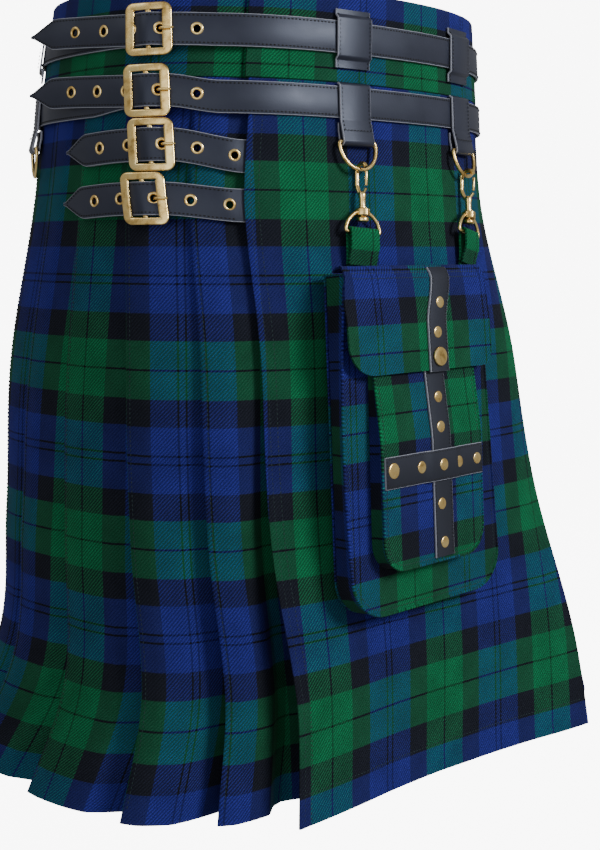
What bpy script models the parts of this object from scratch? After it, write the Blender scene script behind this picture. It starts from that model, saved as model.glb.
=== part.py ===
"""Pleated kilt with belts, buckled hip straps and a hanging pouch.

Origin at the centre of the waist, +Z up, front towards -Y, the wearer's left towards +X.
Metres throughout. Cloth and leather are placed on one surface: arc is the distance round it
from the front centre line, height is Z, and level is the distance out from it.
"""

import math

import bmesh
import bpy
import numpy as np

for old in list(bpy.data.objects):
    bpy.data.objects.remove(old, do_unlink=True)

# ---- driving dimensions -----------------------------------------------------------------
WAIST_TOP = 0.035
WAIST_BOTTOM = -0.034
HEM = -0.571
SEAM_GAP = 0.0003
CLOTH = 0.0011
APRON_CLOTH = 0.0015
BAND_CLOTH = 0.0030
BELT_LEATHER = 0.0022
STRAP_LEATHER = 0.0020
LOOP_LEATHER = 0.0016
BELT_WIDTH = 0.0240
HIP_STRAP_WIDTH = 0.0245
PLEAT_COUNT = 16
FOLD_PITCH = 0.0016
RELIEF_AT_HEM = 0.0240
RECESS_AT_HEM = 0.0260
OPENING_STARTS = -0.165
BAND_LEVEL = 0.0014
APRON_LEVEL = 0.0012
RING_WIRE = 0.0016
BUCKLE_WIDTH = 0.0348
BUCKLE_HEIGHT = 0.0390
STRAP_GAP = 0.0008
BUCKLE_BAR = 0.0066
BAR_REACH = 0.0126
BUCKLE_THICK = 0.0026
PRONG_RADIUS = 0.0011
EYELET_RADIUS = 0.0032
SNAP_RADIUS = 0.0075

# height, half width, half depth, centre x, centre y of the body's outline
OUTLINE = (
    (0.0350, 0.1841, 0.1429, -0.0053, 0.0032),
    (-0.0370, 0.1912, 0.1472, -0.0087, 0.0038),
    (-0.1165, 0.1943, 0.1571, -0.0115, 0.0048),
    (-0.2450, 0.2190, 0.1810, -0.0065, 0.0030),
    (-0.3770, 0.2394, 0.1842, 0.0019, -0.0027),
    (-0.5060, 0.2725, 0.1962, 0.0150, -0.0092),
    (-0.5710, 0.2945, 0.2205, 0.0055, -0.0028),
)
SQUARENESS = (2.39, 3.00)  # outline exponent at the waist and at the hem

# height and arc of the front apron's free edge
APRON_FREE_EDGE = (
    (0.0350, -0.1240),
    (-0.0510, -0.1240),
    (-0.1240, -0.1330),
    (-0.2000, -0.1385),
    (-0.2910, -0.1465),
    (-0.3830, -0.1530),
    (-0.4890, -0.1610),
    (-0.5710, -0.1705),
)
# height and arc of its folded edge
APRON_FOLD_EDGE = ((0.0350, 0.1400), (-0.0500, 0.1430), (-0.2450, 0.1530), (-0.5710, 0.1562))

# share of the pleated span, from the apron's free edge backwards, at the hip and at the hem
PLEAT_SHARES = ((0.0466, 0.0375), (0.1066, 0.0920), (0.1650, 0.1650), (0.2140, 0.2350))

# name, bar arc, height, level of the cloth under it, drop of its strap towards the apron
BUCKLES = (
    ("1", -0.1948, 0.0003, 0.0014, 0.0005),
    ("2", -0.1980, -0.0440, 0.0000, 0.0048),
    ("3", -0.1965, -0.0833, 0.0000, 0.0085),
    ("4", -0.2051, -0.1226, 0.0000, 0.0052),
)
POINT_LENGTH = 0.0230
# how far each belt's free end stands out from the layer beneath at its tip, and rises
FREE_END = (0.0185, 0.0160)
FREE_END_RISE = (0.0040, 0.0036)
HIP_END_DROP = 0.0026
TIP_ARCS = (-0.3055, -0.3125, -0.2835, -0.2910)
HOLE_ARCS = (
    (-0.1606, -0.1861, -0.2080, -0.2341, -0.2630),
    (-0.1620, -0.1891, -0.2151, -0.2424, -0.2700),
    (-0.1369, -0.1634, -0.1880, -0.2156, -0.2422),
    (-0.1439, -0.1714, -0.1970, -0.2257, -0.2516),
)
# arc of each pair of leather loops, and the level of the cloth under its lower one
LOOPS = ((-0.0375, 0.0012), (0.0900, 0.0012), (-0.3520, 0.0), (0.3520, 0.0))
HOOK_ARCS = ((-0.0375, -0.0420), (0.0900, 0.0830))

POUCH_TOP = (-0.0065, -0.1800, -0.1746)
POUCH_YAW = math.radians(4.5)
POUCH_TILT = math.radians(5.5)
POUCH_HEIGHT = 0.260
# at the top edge and at the bottom
POUCH_WIDTH = (0.1600, 0.1770)
POUCH_CENTRE = (-0.0080, 0.0040)
# how far it hangs towards the wearer's right for each metre down
POUCH_LEAN = 0.060
# how far the front panel's left side reaches past the back's
FRONT_BOW = 0.0075
POUCH_CLOTH = 0.0015
BACK_CLEARANCE = 0.0028
STRAP_TAIL = 0.020
POCKET_LEFT = -0.0660
POCKET_RIGHT = 0.0535
FLAP_STRIP_CENTRE = 0.0050
POCKET_STRIP_CENTRE = 0.0020
STRIP_HALF = 0.0112
STRIP_TURN = 0.0100
POCKET_TOP = -0.0680
POCKET_BOTTOM = -0.2260

MATERIALS = {
    "tartan": ((0.035, 0.075, 0.085, 1.0), 0.85, 0.0),
    "black_leather": ((0.030, 0.030, 0.034, 1.0), 0.42, 0.0),
    "antique_brass": ((0.560, 0.430, 0.210, 1.0), 0.30, 1.0),
}


# ---- the surface ------------------------------------------------------------------------
def smooth(t):
    t = min(1.0, max(0.0, t))
    return t * t * (3.0 - 2.0 * t)


def along(table, key, column=1):
    keys = [row[0] for row in table]
    values = [row[column] for row in table]
    if keys[0] > keys[-1]:
        keys = keys[::-1]
        values = values[::-1]
    return float(np.interp(key, keys, values))


def along_curve(table, key, column):
    """A smooth curve through a table's values."""
    keys = np.array([row[0] for row in table])[::-1]
    values = np.array([row[column] for row in table])[::-1]
    slopes = np.gradient(values, keys)
    key = min(max(key, keys[0]), keys[-1])
    k = min(int(np.searchsorted(keys, key, side="right")) - 1, len(keys) - 2)
    gap = keys[k + 1] - keys[k]
    t = (key - keys[k]) / gap
    ease = t * t * (3.0 - 2.0 * t)
    rise = slopes[k] * t * (1.0 - t) ** 2 - slopes[k + 1] * t * t * (1.0 - t)
    return float(values[k] * (1.0 - ease) + values[k + 1] * ease + gap * rise)


RINGS = {}


def ring(height):
    key = round(height, 5)
    if key not in RINGS:
        half_w = along_curve(OUTLINE, height, 1)
        half_d = along_curve(OUTLINE, height, 2)
        cx = along_curve(OUTLINE, height, 3)
        cy = along_curve(OUTLINE, height, 4)
        power = np.interp(height, [HEM, WAIST_TOP], [SQUARENESS[1], SQUARENESS[0]])
        angle = -math.pi / 2 + np.linspace(0.0, 2.0 * math.pi, 721)
        c = np.cos(angle)
        s = np.sin(angle)
        r = (np.abs(c / half_w) ** power + np.abs(s / half_d) ** power) ** (-1.0 / power)
        x = cx + r * c
        y = cy + r * s
        nx = np.sign(c) * np.abs(r * c / half_w) ** (power - 1.0) / half_w
        ny = np.sign(s) * np.abs(r * s / half_d) ** (power - 1.0) / half_d
        size = np.hypot(nx, ny)
        lengths = np.hypot(np.diff(x), np.diff(y))
        arc = np.concatenate([[0.0], np.cumsum(lengths)])
        RINGS[key] = (arc, x, y, nx / size, ny / size)
    return RINGS[key]


def girth(height):
    return float(ring(height)[0][-1])


def at(arc, height, level):
    """The point at this arc, height and level."""
    arcs, x, y, nx, ny = ring(height)
    a = arc % arcs[-1]
    n = np.array([np.interp(a, arcs, nx), np.interp(a, arcs, ny)])
    n /= np.linalg.norm(n)
    return np.array([np.interp(a, arcs, x) + n[0] * level, np.interp(a, arcs, y) + n[1] * level, height])


def axes_at(arc, height):
    """Unit vectors along the surface and out of it."""
    out = at(arc, height, 1.0) - at(arc, height, 0.0)
    return np.array([-out[1], out[0], 0.0]), out


def free_edge(height):
    return along(APRON_FREE_EDGE, height)


def fold_edge(height):
    return along(APRON_FOLD_EDGE, height)


def apron_level(arc, height):
    """Outer level of the front apron: raised over the hip straps, bowed towards the hem."""
    left = free_edge(height)
    right = fold_edge(height)
    middle = 0.5 * (left + right)
    side = (arc - middle) / (0.5 * (right - left))
    low = smooth((-0.265 - height) / 0.300)
    strap_zone = smooth((0.054 - abs(height + 0.110)) / 0.020)
    near_edge = math.exp(-(((arc - left) / 0.055) ** 2))
    pressed = math.exp(-(((height + 0.270) / 0.080) ** 2)) * smooth((1.15 - abs(side)) / 0.6)
    return (
        APRON_LEVEL
        + low * (-0.010 + 0.024 * side * side)
        + 0.0018 * strap_zone * near_edge
        - 0.0065 * pressed
    )


def skirt_bow(arc, height):
    """How far the pleats next to the apron lie inside the outline towards the hem."""
    half = 0.5 * girth(height)
    a = arc if arc <= half else arc - 2.0 * half
    near = smooth((0.60 - abs(a)) / 0.25)
    return -0.009 * smooth((-0.265 - height) / 0.300) * near


# ---- mesh helpers -----------------------------------------------------------------------
def material(slot):
    found = bpy.data.materials.get(slot)
    if found:
        return found
    colour, rough, metal = MATERIALS[slot]
    made = bpy.data.materials.new(slot)
    made.use_nodes = True
    shader = made.node_tree.nodes["Principled BSDF"]
    shader.inputs["Base Color"].default_value = colour
    shader.inputs["Roughness"].default_value = rough
    shader.inputs["Metallic"].default_value = metal
    made.diffuse_color = colour
    return made


def solid(name, slot, verts, faces, origin=(0.0, 0.0, 0.0), round_piece=False):
    """A named closed body with its faces turned out."""
    mesh = bpy.data.meshes.new(name)
    o = np.array(origin)
    mesh.from_pydata([tuple(np.array(v) - o) for v in verts], [], faces)
    bm = bmesh.new()
    bm.from_mesh(mesh)
    bmesh.ops.recalc_face_normals(bm, faces=bm.faces)
    if bm.calc_volume(signed=True) < 0.0:
        bmesh.ops.reverse_faces(bm, faces=bm.faces)
    bm.to_mesh(mesh)
    bm.free()
    made = material(slot).copy()
    made.name = name
    mesh.materials.append(made)
    for face in mesh.polygons:
        face.use_smooth = round_piece
    body = bpy.data.objects.new(name, mesh)
    body.location = origin
    bpy.context.scene.collection.objects.link(body)
    return body


def sheet(name, slot, inner, outer):
    """A closed wall between two grids of points with the same rows and columns."""
    rows = len(inner)
    cols = len(inner[0])
    verts = [p for row in inner for p in row] + [p for row in outer for p in row]
    half = rows * cols
    faces = []
    for i in range(rows - 1):
        for j in range(cols - 1):
            a = i * cols + j
            faces.append((a, a + 1, a + cols + 1, a + cols))
            faces.append((half + a, half + a + cols, half + a + cols + 1, half + a + 1))
    edge = [(0, j) for j in range(cols - 1)]
    edge += [(i, cols - 1) for i in range(rows - 1)]
    edge += [(rows - 1, j) for j in range(cols - 1, 0, -1)]
    edge += [(i, 0) for i in range(rows - 1, 0, -1)]
    loop = [i * cols + j for i, j in edge]
    for k, a in enumerate(loop):
        b = loop[(k + 1) % len(loop)]
        faces.append((b, a, half + a, half + b))
    return solid(name, slot, verts, faces)


def offset_line(points, thick):
    """The two sides of a wall of this thickness along a line in a plane."""
    p = np.array(points, dtype=float)
    d = np.diff(p, axis=0)
    d /= np.linalg.norm(d, axis=1)[:, None]
    n = np.stack([-d[:, 1], d[:, 0]], axis=1)
    mitre = []
    for k in range(len(p)):
        before = n[max(k - 1, 0)]
        after = n[min(k, len(n) - 1)]
        m = before + after
        size = np.linalg.norm(m)
        m = m / size if size > 1e-6 else after
        mitre.append(m / max(0.62, float(m @ after)))
    m = np.array(mitre)
    return p - m * thick / 2.0, p + m * thick / 2.0


def wire(name, slot, path, radius, sides=6, closed=False, normal=None, flat=None, origin=None):
    """A round wire along a path; flat squashes it across its normal."""
    p = np.array(path, dtype=float)
    count = len(p)
    verts = []
    up = None
    for k in range(count):
        if closed:
            t = p[(k + 1) % count] - p[k - 1]
        else:
            t = p[min(k + 1, count - 1)] - p[max(k - 1, 0)]
        t /= np.linalg.norm(t)
        if normal is not None:
            a = np.array(normal[k] if np.ndim(normal) == 2 else normal, dtype=float)
        elif up is None:
            a = np.cross(t, [0.0, 0.0, 1.0])
            if np.linalg.norm(a) < 0.1:
                a = np.cross(t, [1.0, 0.0, 0.0])
        else:
            a = up
        a = a - t * (a @ t)
        a /= np.linalg.norm(a)
        up = a
        b = np.cross(t, a)
        before = p[k] - p[k - 1] if (closed or k > 0) else t
        half_turn = float(np.clip(before @ t / max(np.linalg.norm(before), 1e-9), 0.85, 1.0))
        for s in range(sides):
            w = 2.0 * math.pi * (s + 0.5) / sides
            ra = radius if flat is None else flat
            rb = radius / half_turn if flat is None else radius
            verts.append(p[k] + a * math.cos(w) * ra + b * math.sin(w) * rb)
    faces = []
    for k in range(count if closed else count - 1):
        for s in range(sides):
            i = k * sides + s
            j = k * sides + (s + 1) % sides
            i2 = ((k + 1) % count) * sides + s
            j2 = ((k + 1) % count) * sides + (s + 1) % sides
            faces.append((i, j, j2, i2))
    if not closed:
        faces.append(tuple(range(sides))[::-1])
        faces.append(tuple((count - 1) * sides + s for s in range(sides)))
    return solid(name, slot, verts, faces, origin if origin is not None else (0, 0, 0), True)


def turned(name, slot, base, axis, stations, sides=12, origin=None):
    """A turned piece: (distance, radius) stations along an axis, its ends closed."""
    axis = np.array(axis, dtype=float)
    axis /= np.linalg.norm(axis)
    a = np.cross(axis, [0.0, 0.0, 1.0])
    if np.linalg.norm(a) < 0.1:
        a = np.cross(axis, [1.0, 0.0, 0.0])
    a /= np.linalg.norm(a)
    b = np.cross(axis, a)
    verts = []
    for d, r in stations:
        for s in range(sides):
            w = 2.0 * math.pi * s / sides
            verts.append(np.array(base) + axis * d + (a * math.cos(w) + b * math.sin(w)) * r)
    faces = []
    for k in range(len(stations) - 1):
        for s in range(sides):
            i = k * sides + s
            j = k * sides + (s + 1) % sides
            faces.append((i, j, j + sides, i + sides))
    faces.append(tuple(range(sides))[::-1])
    faces.append(tuple((len(stations) - 1) * sides + s for s in range(sides)))
    return solid(name, slot, verts, faces, origin if origin is not None else (0, 0, 0), True)


def combine(body, tools, operation):
    for tool in tools:
        step = body.modifiers.new(operation.lower(), "BOOLEAN")
        step.operation = operation
        step.solver = "EXACT"
        step.object = tool
        graph = bpy.context.evaluated_depsgraph_get()
        mesh = bpy.data.meshes.new_from_object(body.evaluated_get(graph))
        body.modifiers.clear()
        old_mesh = body.data
        body.data = mesh
        mesh.name = body.name
        bpy.data.meshes.remove(old_mesh)
        bpy.data.objects.remove(tool, do_unlink=True)
    return body


def strip_round(name, slot, line, height, width, thick, pointed=0.0):
    """A band laid round the surface: line lists (arc, middle level), height is its middle."""
    inner, outer = offset_line(line, thick)
    rows_in = []
    rows_out = []
    for k in range(len(line)):
        half = width / 2.0
        if pointed:
            half = 0.0012 + (half - 0.0012) * min(1.0, (line[k][0] - line[0][0]) / pointed)
        mid = height(line[k][0]) if callable(height) else height
        rows_in.append([at(inner[k][0], mid - half, inner[k][1]), at(inner[k][0], mid + half, inner[k][1])])
        rows_out.append([at(outer[k][0], mid - half, outer[k][1]), at(outer[k][0], mid + half, outer[k][1])])
    return sheet(name, slot, rows_in, rows_out)


def strip_down(name, slot, line, arc, width, thick, plumb=-1.0):
    """A band laid down the surface: line lists (height, middle level), arc is its middle.

    Below the plumb height the levels are those of that height.
    """
    inner, outer = offset_line(line, thick)
    tangent = axes_at(arc, plumb if plumb > -1.0 else line[0][0])[0]
    offsets = (-width / 2.0, width / 2.0)

    def place(h, v, d):
        point = at(arc, max(h, plumb), v) + tangent * d
        point[2] = h
        return point

    rows_in = [[place(h, v, d) for d in offsets] for h, v in inner]
    rows_out = [[place(h, v, d) for d in offsets] for h, v in outer]
    return sheet(name, slot, rows_in, rows_out)


def spaced(line, step):
    """The same line with points no further apart than step."""
    out = [line[0]]
    for a, b in zip(line, line[1:]):
        count = max(1, int(math.ceil(abs(b[0] - a[0]) / step)))
        for k in range(1, count + 1):
            out.append((a[0] + (b[0] - a[0]) * k / count, a[1] + (b[1] - a[1]) * k / count))
    return out


# ---- pleated skirt ----------------------------------------------------------------------
HEIGHTS = (-0.0343, -0.070, -0.105, -0.140, -0.190, -0.265, -0.340, -0.420, -0.500, HEM)


def pleat_edges(height):
    """Arcs of the outer folds, in order round from the apron's folded edge."""
    low = (WAIST_BOTTOM - height) / (WAIST_BOTTOM - HEM)
    shares = [hip + (hem - hip) * low for hip, hem in PLEAT_SHARES]
    hidden = PLEAT_COUNT - len(shares)
    step = (1.0 - shares[-1]) / (hidden + 1)
    shares += [shares[-1] + step * (k + 1) for k in range(hidden)]
    full = girth(height)
    start = full + free_edge(height)
    span = start - fold_edge(height)
    return [start - s * span for s in reversed(shares)]


def relief(height):
    return RELIEF_AT_HEM * max(0.0, (OPENING_STARTS - height) / (OPENING_STARTS - HEM)) ** 1.1


def pleat_line(height):
    """The folded line of the skirt at one height, as (arc, level) at the wall's middle."""
    u = FOLD_PITCH
    deep = relief(height)
    opened = max(0.0, (OPENING_STARTS - height) / (OPENING_STARTS - HEM))
    recess = RECESS_AT_HEM * opened**1.2
    overlap = 0.015 - 0.005 * opened
    start = fold_edge(height)
    finish = girth(height) + free_edge(height)
    edges = pleat_edges(height)
    line = [(start - 0.020, -2.2 * u - 0.45 * deep), (start + 0.006, -2.0 * u - 0.20 * deep)]
    for e in edges:
        axis = np.array([0.013 + 0.004 * opened, -0.020 * opened])
        axis /= np.linalg.norm(axis)
        side = np.array([-axis[1], axis[0]]) * u / 2.0
        tip = np.array([e + overlap, -1.5 * u - deep])
        line.append((e - 0.0105 - recess, -1.9 * u - 0.10 * deep))
        line.append((e - 0.0030 - 0.30 * recess, -2.0 * u - 0.62 * deep))
        line.append(tuple(tip - side))
        line.append(tuple(tip + side))
        line.append((e, -u))
        line.append((e, 0.0))
        line.append((e + overlap + 0.0035, 0.0))
    line.append((finish - 0.0100, -2.0 * u - 0.20 * deep))
    line.append((finish - 0.0010, -2.5 * u - 0.70 * deep))
    line.append((finish + 0.0090, -2.7 * u - 0.90 * deep))
    return [(a, v - CLOTH / 2.0 + skirt_bow(a, height)) for a, v in line]


# name and first pleat of each length of cloth; they are joined inside the pleats
SKIRT_LENGTHS = (("skirt_left", 0), ("skirt_back_left", 4), ("skirt_back_right", 8), ("skirt_right", 12))
LEAD_POINTS = 2
POINTS_A_PLEAT = 7
POINTS_TO_INNER_FOLD = 3

for n, (name, first) in enumerate(SKIRT_LENGTHS):
    begin = LEAD_POINTS + POINTS_A_PLEAT * first + POINTS_TO_INNER_FOLD if n else 0
    end = None
    if n + 1 < len(SKIRT_LENGTHS):
        end = LEAD_POINTS + POINTS_A_PLEAT * SKIRT_LENGTHS[n + 1][1] + POINTS_TO_INNER_FOLD
    skirt_in = []
    skirt_out = []
    for h in HEIGHTS:
        side_a, side_b = offset_line(pleat_line(h)[begin:end], CLOTH)
        skirt_in.append([at(a, h, v) for a, v in side_a])
        skirt_out.append([at(a, h, v) for a, v in side_b])
    sheet(name, "tartan", skirt_in, skirt_out)

# ---- aprons -----------------------------------------------------------------------------
APRON_HEIGHTS = (-0.0343, -0.058, -0.078, -0.106, -0.137, -0.155, -0.190, -0.235, -0.285,
                 -0.350, -0.425, -0.500, HEM)
APRON_COLUMNS = 17


def apron_grid(drop):
    rows = []
    for h in APRON_HEIGHTS:
        left = free_edge(h)
        right = fold_edge(h)
        arcs = np.linspace(left, right, APRON_COLUMNS)
        rows.append([at(a, h, apron_level(a, h) - drop) for a in arcs])
    return rows


sheet("front_apron", "tartan", apron_grid(APRON_CLOTH), apron_grid(0.0))

UNDER_HEIGHTS = HEIGHTS
UNDER_COLUMNS = 10


def under_level(arc, height):
    start = free_edge(height) + 0.0090
    deep = relief(height)
    first = -2.7 * FOLD_PITCH - 0.90 * deep - CLOTH / 2.0 + skirt_bow(arc, height)
    far = smooth((arc - start) / 0.080)
    press = -0.0065 * math.exp(-(((height + 0.270) / 0.080) ** 2))
    low = smooth((-0.265 - height) / 0.300)
    rest = -0.0065 - 0.010 * low + press - 0.003 * low
    return first * (1.0 - far) + rest * far


under_in = []
under_out = []
for h in UNDER_HEIGHTS:
    begin = free_edge(h) + 0.0090 + SEAM_GAP
    arcs = np.linspace(begin, fold_edge(h) - 0.0450, UNDER_COLUMNS)
    under_in.append([at(a, h, under_level(a, h) - CLOTH / 2.0) for a in arcs])
    under_out.append([at(a, h, under_level(a, h) + CLOTH / 2.0) for a in arcs])
sheet("under_apron", "tartan", under_in, under_out)

# ---- waistband --------------------------------------------------------------------------
waist_girth = girth(0.0)
band_mid = BAND_LEVEL - BAND_CLOTH / 2.0
band_under = band_mid - BAND_CLOTH - 0.0004
band_line = [
    (-0.1240, band_mid),
    (waist_girth - 0.2300, band_mid),
    (waist_girth - 0.1500, band_under - 0.0002),
    (waist_girth - 0.1240, band_under - 0.0006),
    (waist_girth + 0.0950, band_under - 0.0006),
]
band_line = spaced(band_line, 0.0170)
band_in = []
band_out = []
side_a, side_b = offset_line(band_line, BAND_CLOTH)
for k in range(len(band_line)):
    band_in.append([])
    band_out.append([])
    for h in (WAIST_BOTTOM, 0.0, WAIST_TOP):
        share = girth(h) / waist_girth
        band_in[-1].append(at(side_a[k][0] * share, h, side_a[k][1]))
        band_out[-1].append(at(side_b[k][0] * share, h, side_b[k][1]))
sheet("waistband", "tartan", band_in, band_out)


# ---- belts and hip straps ---------------------------------------------------------------
def strap_levels(base, thick):
    """Middle levels of a strap through its buckle: frame, under the side bars, over the bar."""
    frame = base + 1.5 * thick + 0.0009 + BUCKLE_THICK / 2.0
    under_bars = base + thick + 0.0004
    over_bar = frame + 0.0008 + 0.0003 + thick / 2.0
    base_end = frame - 0.0008 - 0.0003 - thick / 2.0
    return frame, under_bars, over_bar, base_end


def cut_holes(strap, arcs, height_at, line, drop=0.0030):
    """Eyelet holes through a strap at these arcs."""
    tools = []
    for k, a in enumerate(arcs):
        level = float(np.interp(a, [p[0] for p in line], [p[1] for p in line]))
        out = axes_at(a, height_at(a))[1]
        base = at(a, height_at(a), level - drop)
        ends = ((0.0, EYELET_RADIUS), (2.0 * drop, EYELET_RADIUS))
        tools.append(turned(f"hole_{k}", "antique_brass", base, out, ends, 8))
    return combine(strap, tools, "DIFFERENCE")


def belt_height(index):
    """Middle height of a belt: a little higher at its buckle, and rising in its free end."""
    label, bar, height, cloth, drop = BUCKLES[index]
    full = girth(height)

    def read(a):
        if a > full / 2.0:
            return height - drop * smooth((full - a - 0.205) / 0.040)
        if a < bar:
            return height + FREE_END_RISE[index] * smooth((bar - a) / 0.090)
        return height - drop * smooth((a + 0.185) / 0.040)

    return read


def belt(name, index, lift):
    label, bar, height, cloth, drop = BUCKLES[index]
    t = BELT_LEATHER
    base = cloth + STRAP_GAP + t / 2.0
    frame, under_bars, over_bar, base_end = strap_levels(base, t)
    full = girth(height)
    tip = TIP_ARCS[index]
    line = [
        (tip, base + t + FREE_END[index]),
        (tip + POINT_LENGTH, base + t + 0.56 * FREE_END[index]),
        (tip + 0.0440, base + t + 0.18 * FREE_END[index]),
        (tip + 0.0660, base + t + 0.0004),
        (bar - BAR_REACH - 0.0065, under_bars),
        (bar - BAR_REACH, under_bars),
        (bar - 0.0030, over_bar),
        (bar + 0.0020, over_bar),
        (bar + BAR_REACH, under_bars),
        (bar + 0.0230, under_bars - 0.0008),
        (-0.1500, base + lift),
        (0.1500, base + lift),
        (0.1900, base),
        (full + bar - BAR_REACH, base),
        (full + bar - 0.0030, base_end),
        (full + bar + 0.0014, base_end),
    ]
    middle = belt_height(index)
    strap = strip_round(name, "black_leather", spaced(line, 0.0145), middle, BELT_WIDTH, t, POINT_LENGTH)
    return cut_holes(strap, HOLE_ARCS[index], middle, line)


belt("belt_upper", 0, 0.0)
belt("belt_lower", 1, APRON_LEVEL)


def hip_height(index):
    """Middle height of a hip strap: it drops from its buckle towards the apron and its tip."""
    label, bar, height, cloth, drop = BUCKLES[index]
    edge = free_edge(height)

    def read(a):
        if a < bar:
            return height - HIP_END_DROP * smooth((bar - a - 0.015) / 0.070)
        return height - drop * smooth((a - bar - 0.010) / (edge - bar - 0.010))

    return read


def hip_strap(name, tab_name, index):
    label, bar, height, cloth, drop = BUCKLES[index]
    t = STRAP_LEATHER
    base = STRAP_GAP + 0.0002 + t / 2.0
    frame, under_bars, over_bar, base_end = strap_levels(base, t)
    tip = TIP_ARCS[index]
    edge = free_edge(height)
    middle = hip_height(index)
    line = [
        (tip, base + t + 0.0010),
        (tip + POINT_LENGTH, base + t + 0.0004),
        (bar - BAR_REACH - 0.0065, under_bars),
        (bar - BAR_REACH, under_bars),
        (bar - 0.0030, over_bar),
        (bar + 0.0020, over_bar),
        (bar + BAR_REACH, under_bars),
        (bar + 0.0230, under_bars - 0.0010),
        (edge - 0.0150, base + 0.0002),
        (edge - 0.0020, 0.0001),
        (edge + 0.0220, -0.0004),
    ]
    strap = strip_round(name, "black_leather", spaced(line, 0.0145), middle, HIP_STRAP_WIDTH, t,
                        POINT_LENGTH)
    cut_holes(strap, HOLE_ARCS[index], middle, line)
    tab = [
        (bar - 0.0750, base),
        (bar - BAR_REACH, base),
        (bar - 0.0030, base_end),
        (bar + 0.0014, base_end),
    ]
    strip_round(tab_name, "black_leather", spaced(tab, 0.0145), middle, HIP_STRAP_WIDTH, t)


hip_strap("hip_strap_upper", "hip_tab_upper", 2)
hip_strap("hip_strap_lower", "hip_tab_lower", 3)


def buckle(index):
    label, bar, height, cloth, drop = BUCKLES[index]
    t = BELT_LEATHER if index < 2 else STRAP_LEATHER
    base = cloth + STRAP_GAP + t / 2.0
    if index >= 2:
        base += 0.0002
    frame, under_bars, over_bar, base_end = strap_levels(base, t)
    half_w = (BUCKLE_WIDTH - BUCKLE_BAR) / 2.0
    half_h = (BUCKLE_HEIGHT - BUCKLE_BAR) / 2.0
    mid = height
    corner = 0.0045
    outline = []
    for cx, cy, first in ((1, 1, 0), (-1, 1, 90), (-1, -1, 180), (1, -1, 270)):
        for turn in (0.0, 45.0, 90.0):
            w = math.radians(first + turn)
            outline.append((cx * (half_w - corner) + corner * math.cos(w),
                            cy * (half_h - corner) + corner * math.sin(w)))
        if cx == 1 and cy == 1 or cx == -1 and cy == -1:
            outline.append((0.0, cy * half_h))
    path = [at(bar + du, mid + dz, frame) for du, dz in outline]
    normals = np.array([axes_at(bar + du, mid + dz)[1] for du, dz in outline])
    rim = wire(f"buckle_{label}", "antique_brass", path, BUCKLE_BAR / 2.0, 8, True, normals,
               BUCKLE_THICK / 2.0)
    ends = [at(bar, mid - half_h, frame), at(bar, mid + half_h, frame)]
    out = axes_at(bar, mid)[1]
    centre = wire("centre_bar", "antique_brass", ends, 0.0020, 8, False, np.array([out, out]),
                  0.00085)
    combine(rim, [centre], "UNION")
    prong = [
        (bar + 0.0064, frame - 0.0034),
        (bar + 0.0076, frame - 0.0018),
        (bar + 0.0090, frame + 0.0006),
        (bar + 0.0106, frame + 0.0024),
        (bar + 0.0140, frame + 0.0031),
        (bar + 0.0190, frame + 0.0028),
    ]
    wire(f"prong_{label}", "antique_brass", [at(a, mid, v) for a, v in prong], PRONG_RADIUS, 6)


for index in range(len(BUCKLES)):
    buckle(index)

# ---- leather loops and D-rings ----------------------------------------------------------
BAR_HEIGHT = -0.0785
BAR_OUT = 0.0059
RING_PLUMB = -0.0640
RING_DROP = 0.0221
RING_SHAPE = ((-0.0150, 0.0), (0.0150, 0.0), (0.0170, 0.0008), (0.0176, 0.0028), (0.0170, 0.0080),
              (0.0146, 0.0138), (0.0105, 0.0185), (0.0055, 0.0212), (0.0, 0.0221))


def ring_outline():
    right = list(RING_SHAPE[1:])
    left = [(-u, d) for u, d in reversed(right[:-1])]
    return right + left


def d_ring(index):
    arc, cloth = LOOPS[index]
    tangent = axes_at(arc, RING_PLUMB)[0]
    bar = at(arc, RING_PLUMB, cloth + BAR_OUT)
    bar[2] = BAR_HEIGHT
    down = np.array([0.0, 0.0, -1.0])
    if index < 2:
        foot = at(arc, BAR_HEIGHT - RING_DROP, cloth + 0.0085)
        down = (foot - bar) / np.linalg.norm(foot - bar)
    path = [bar + tangent * u + down * d for u, d in ring_outline()]
    normal = np.cross(tangent, down)
    origin = bar if index >= 2 else (0.0, 0.0, 0.0)
    return wire(f"d_ring_{index + 1}", "antique_brass", path, RING_WIRE, 8, True, normal, None, origin)


for index, (arc, cloth) in enumerate(LOOPS):
    rest = BAND_LEVEL + STRAP_GAP + LOOP_LEATHER / 2.0
    over = BAND_LEVEL + BELT_LEATHER + STRAP_GAP + 0.0005 + LOOP_LEATHER / 2.0
    strip_down(f"belt_loop_{index + 1}", "black_leather",
               ((-0.0230, rest), (-0.0168, rest), (-0.0145, over), (0.0141, over), (0.0164, rest),
                (0.0205, rest)), arc, 0.033, LOOP_LEATHER)
    over = cloth + BELT_LEATHER + STRAP_GAP + 0.0005 + LOOP_LEATHER / 2.0
    turn = RING_WIRE + 0.0003 + LOOP_LEATHER / 2.0
    fold = [(-0.0346, cloth + 0.0018), (-0.0358, over), (-0.0625, over)]
    for w in (110.0, 74.0, 38.0, 2.0, -34.0, -70.0, -106.0):
        r = math.radians(w)
        fold.append((BAR_HEIGHT - turn * math.cos(r), cloth + BAR_OUT + turn * math.sin(r)))
    fold.append((-0.0700, cloth + 0.0016))
    fold.append((-0.0645, cloth + 0.0014))
    strip_down(f"ring_loop_{index + 1}", "black_leather", fold, arc, 0.030, LOOP_LEATHER, RING_PLUMB)
    d_ring(index)

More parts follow.
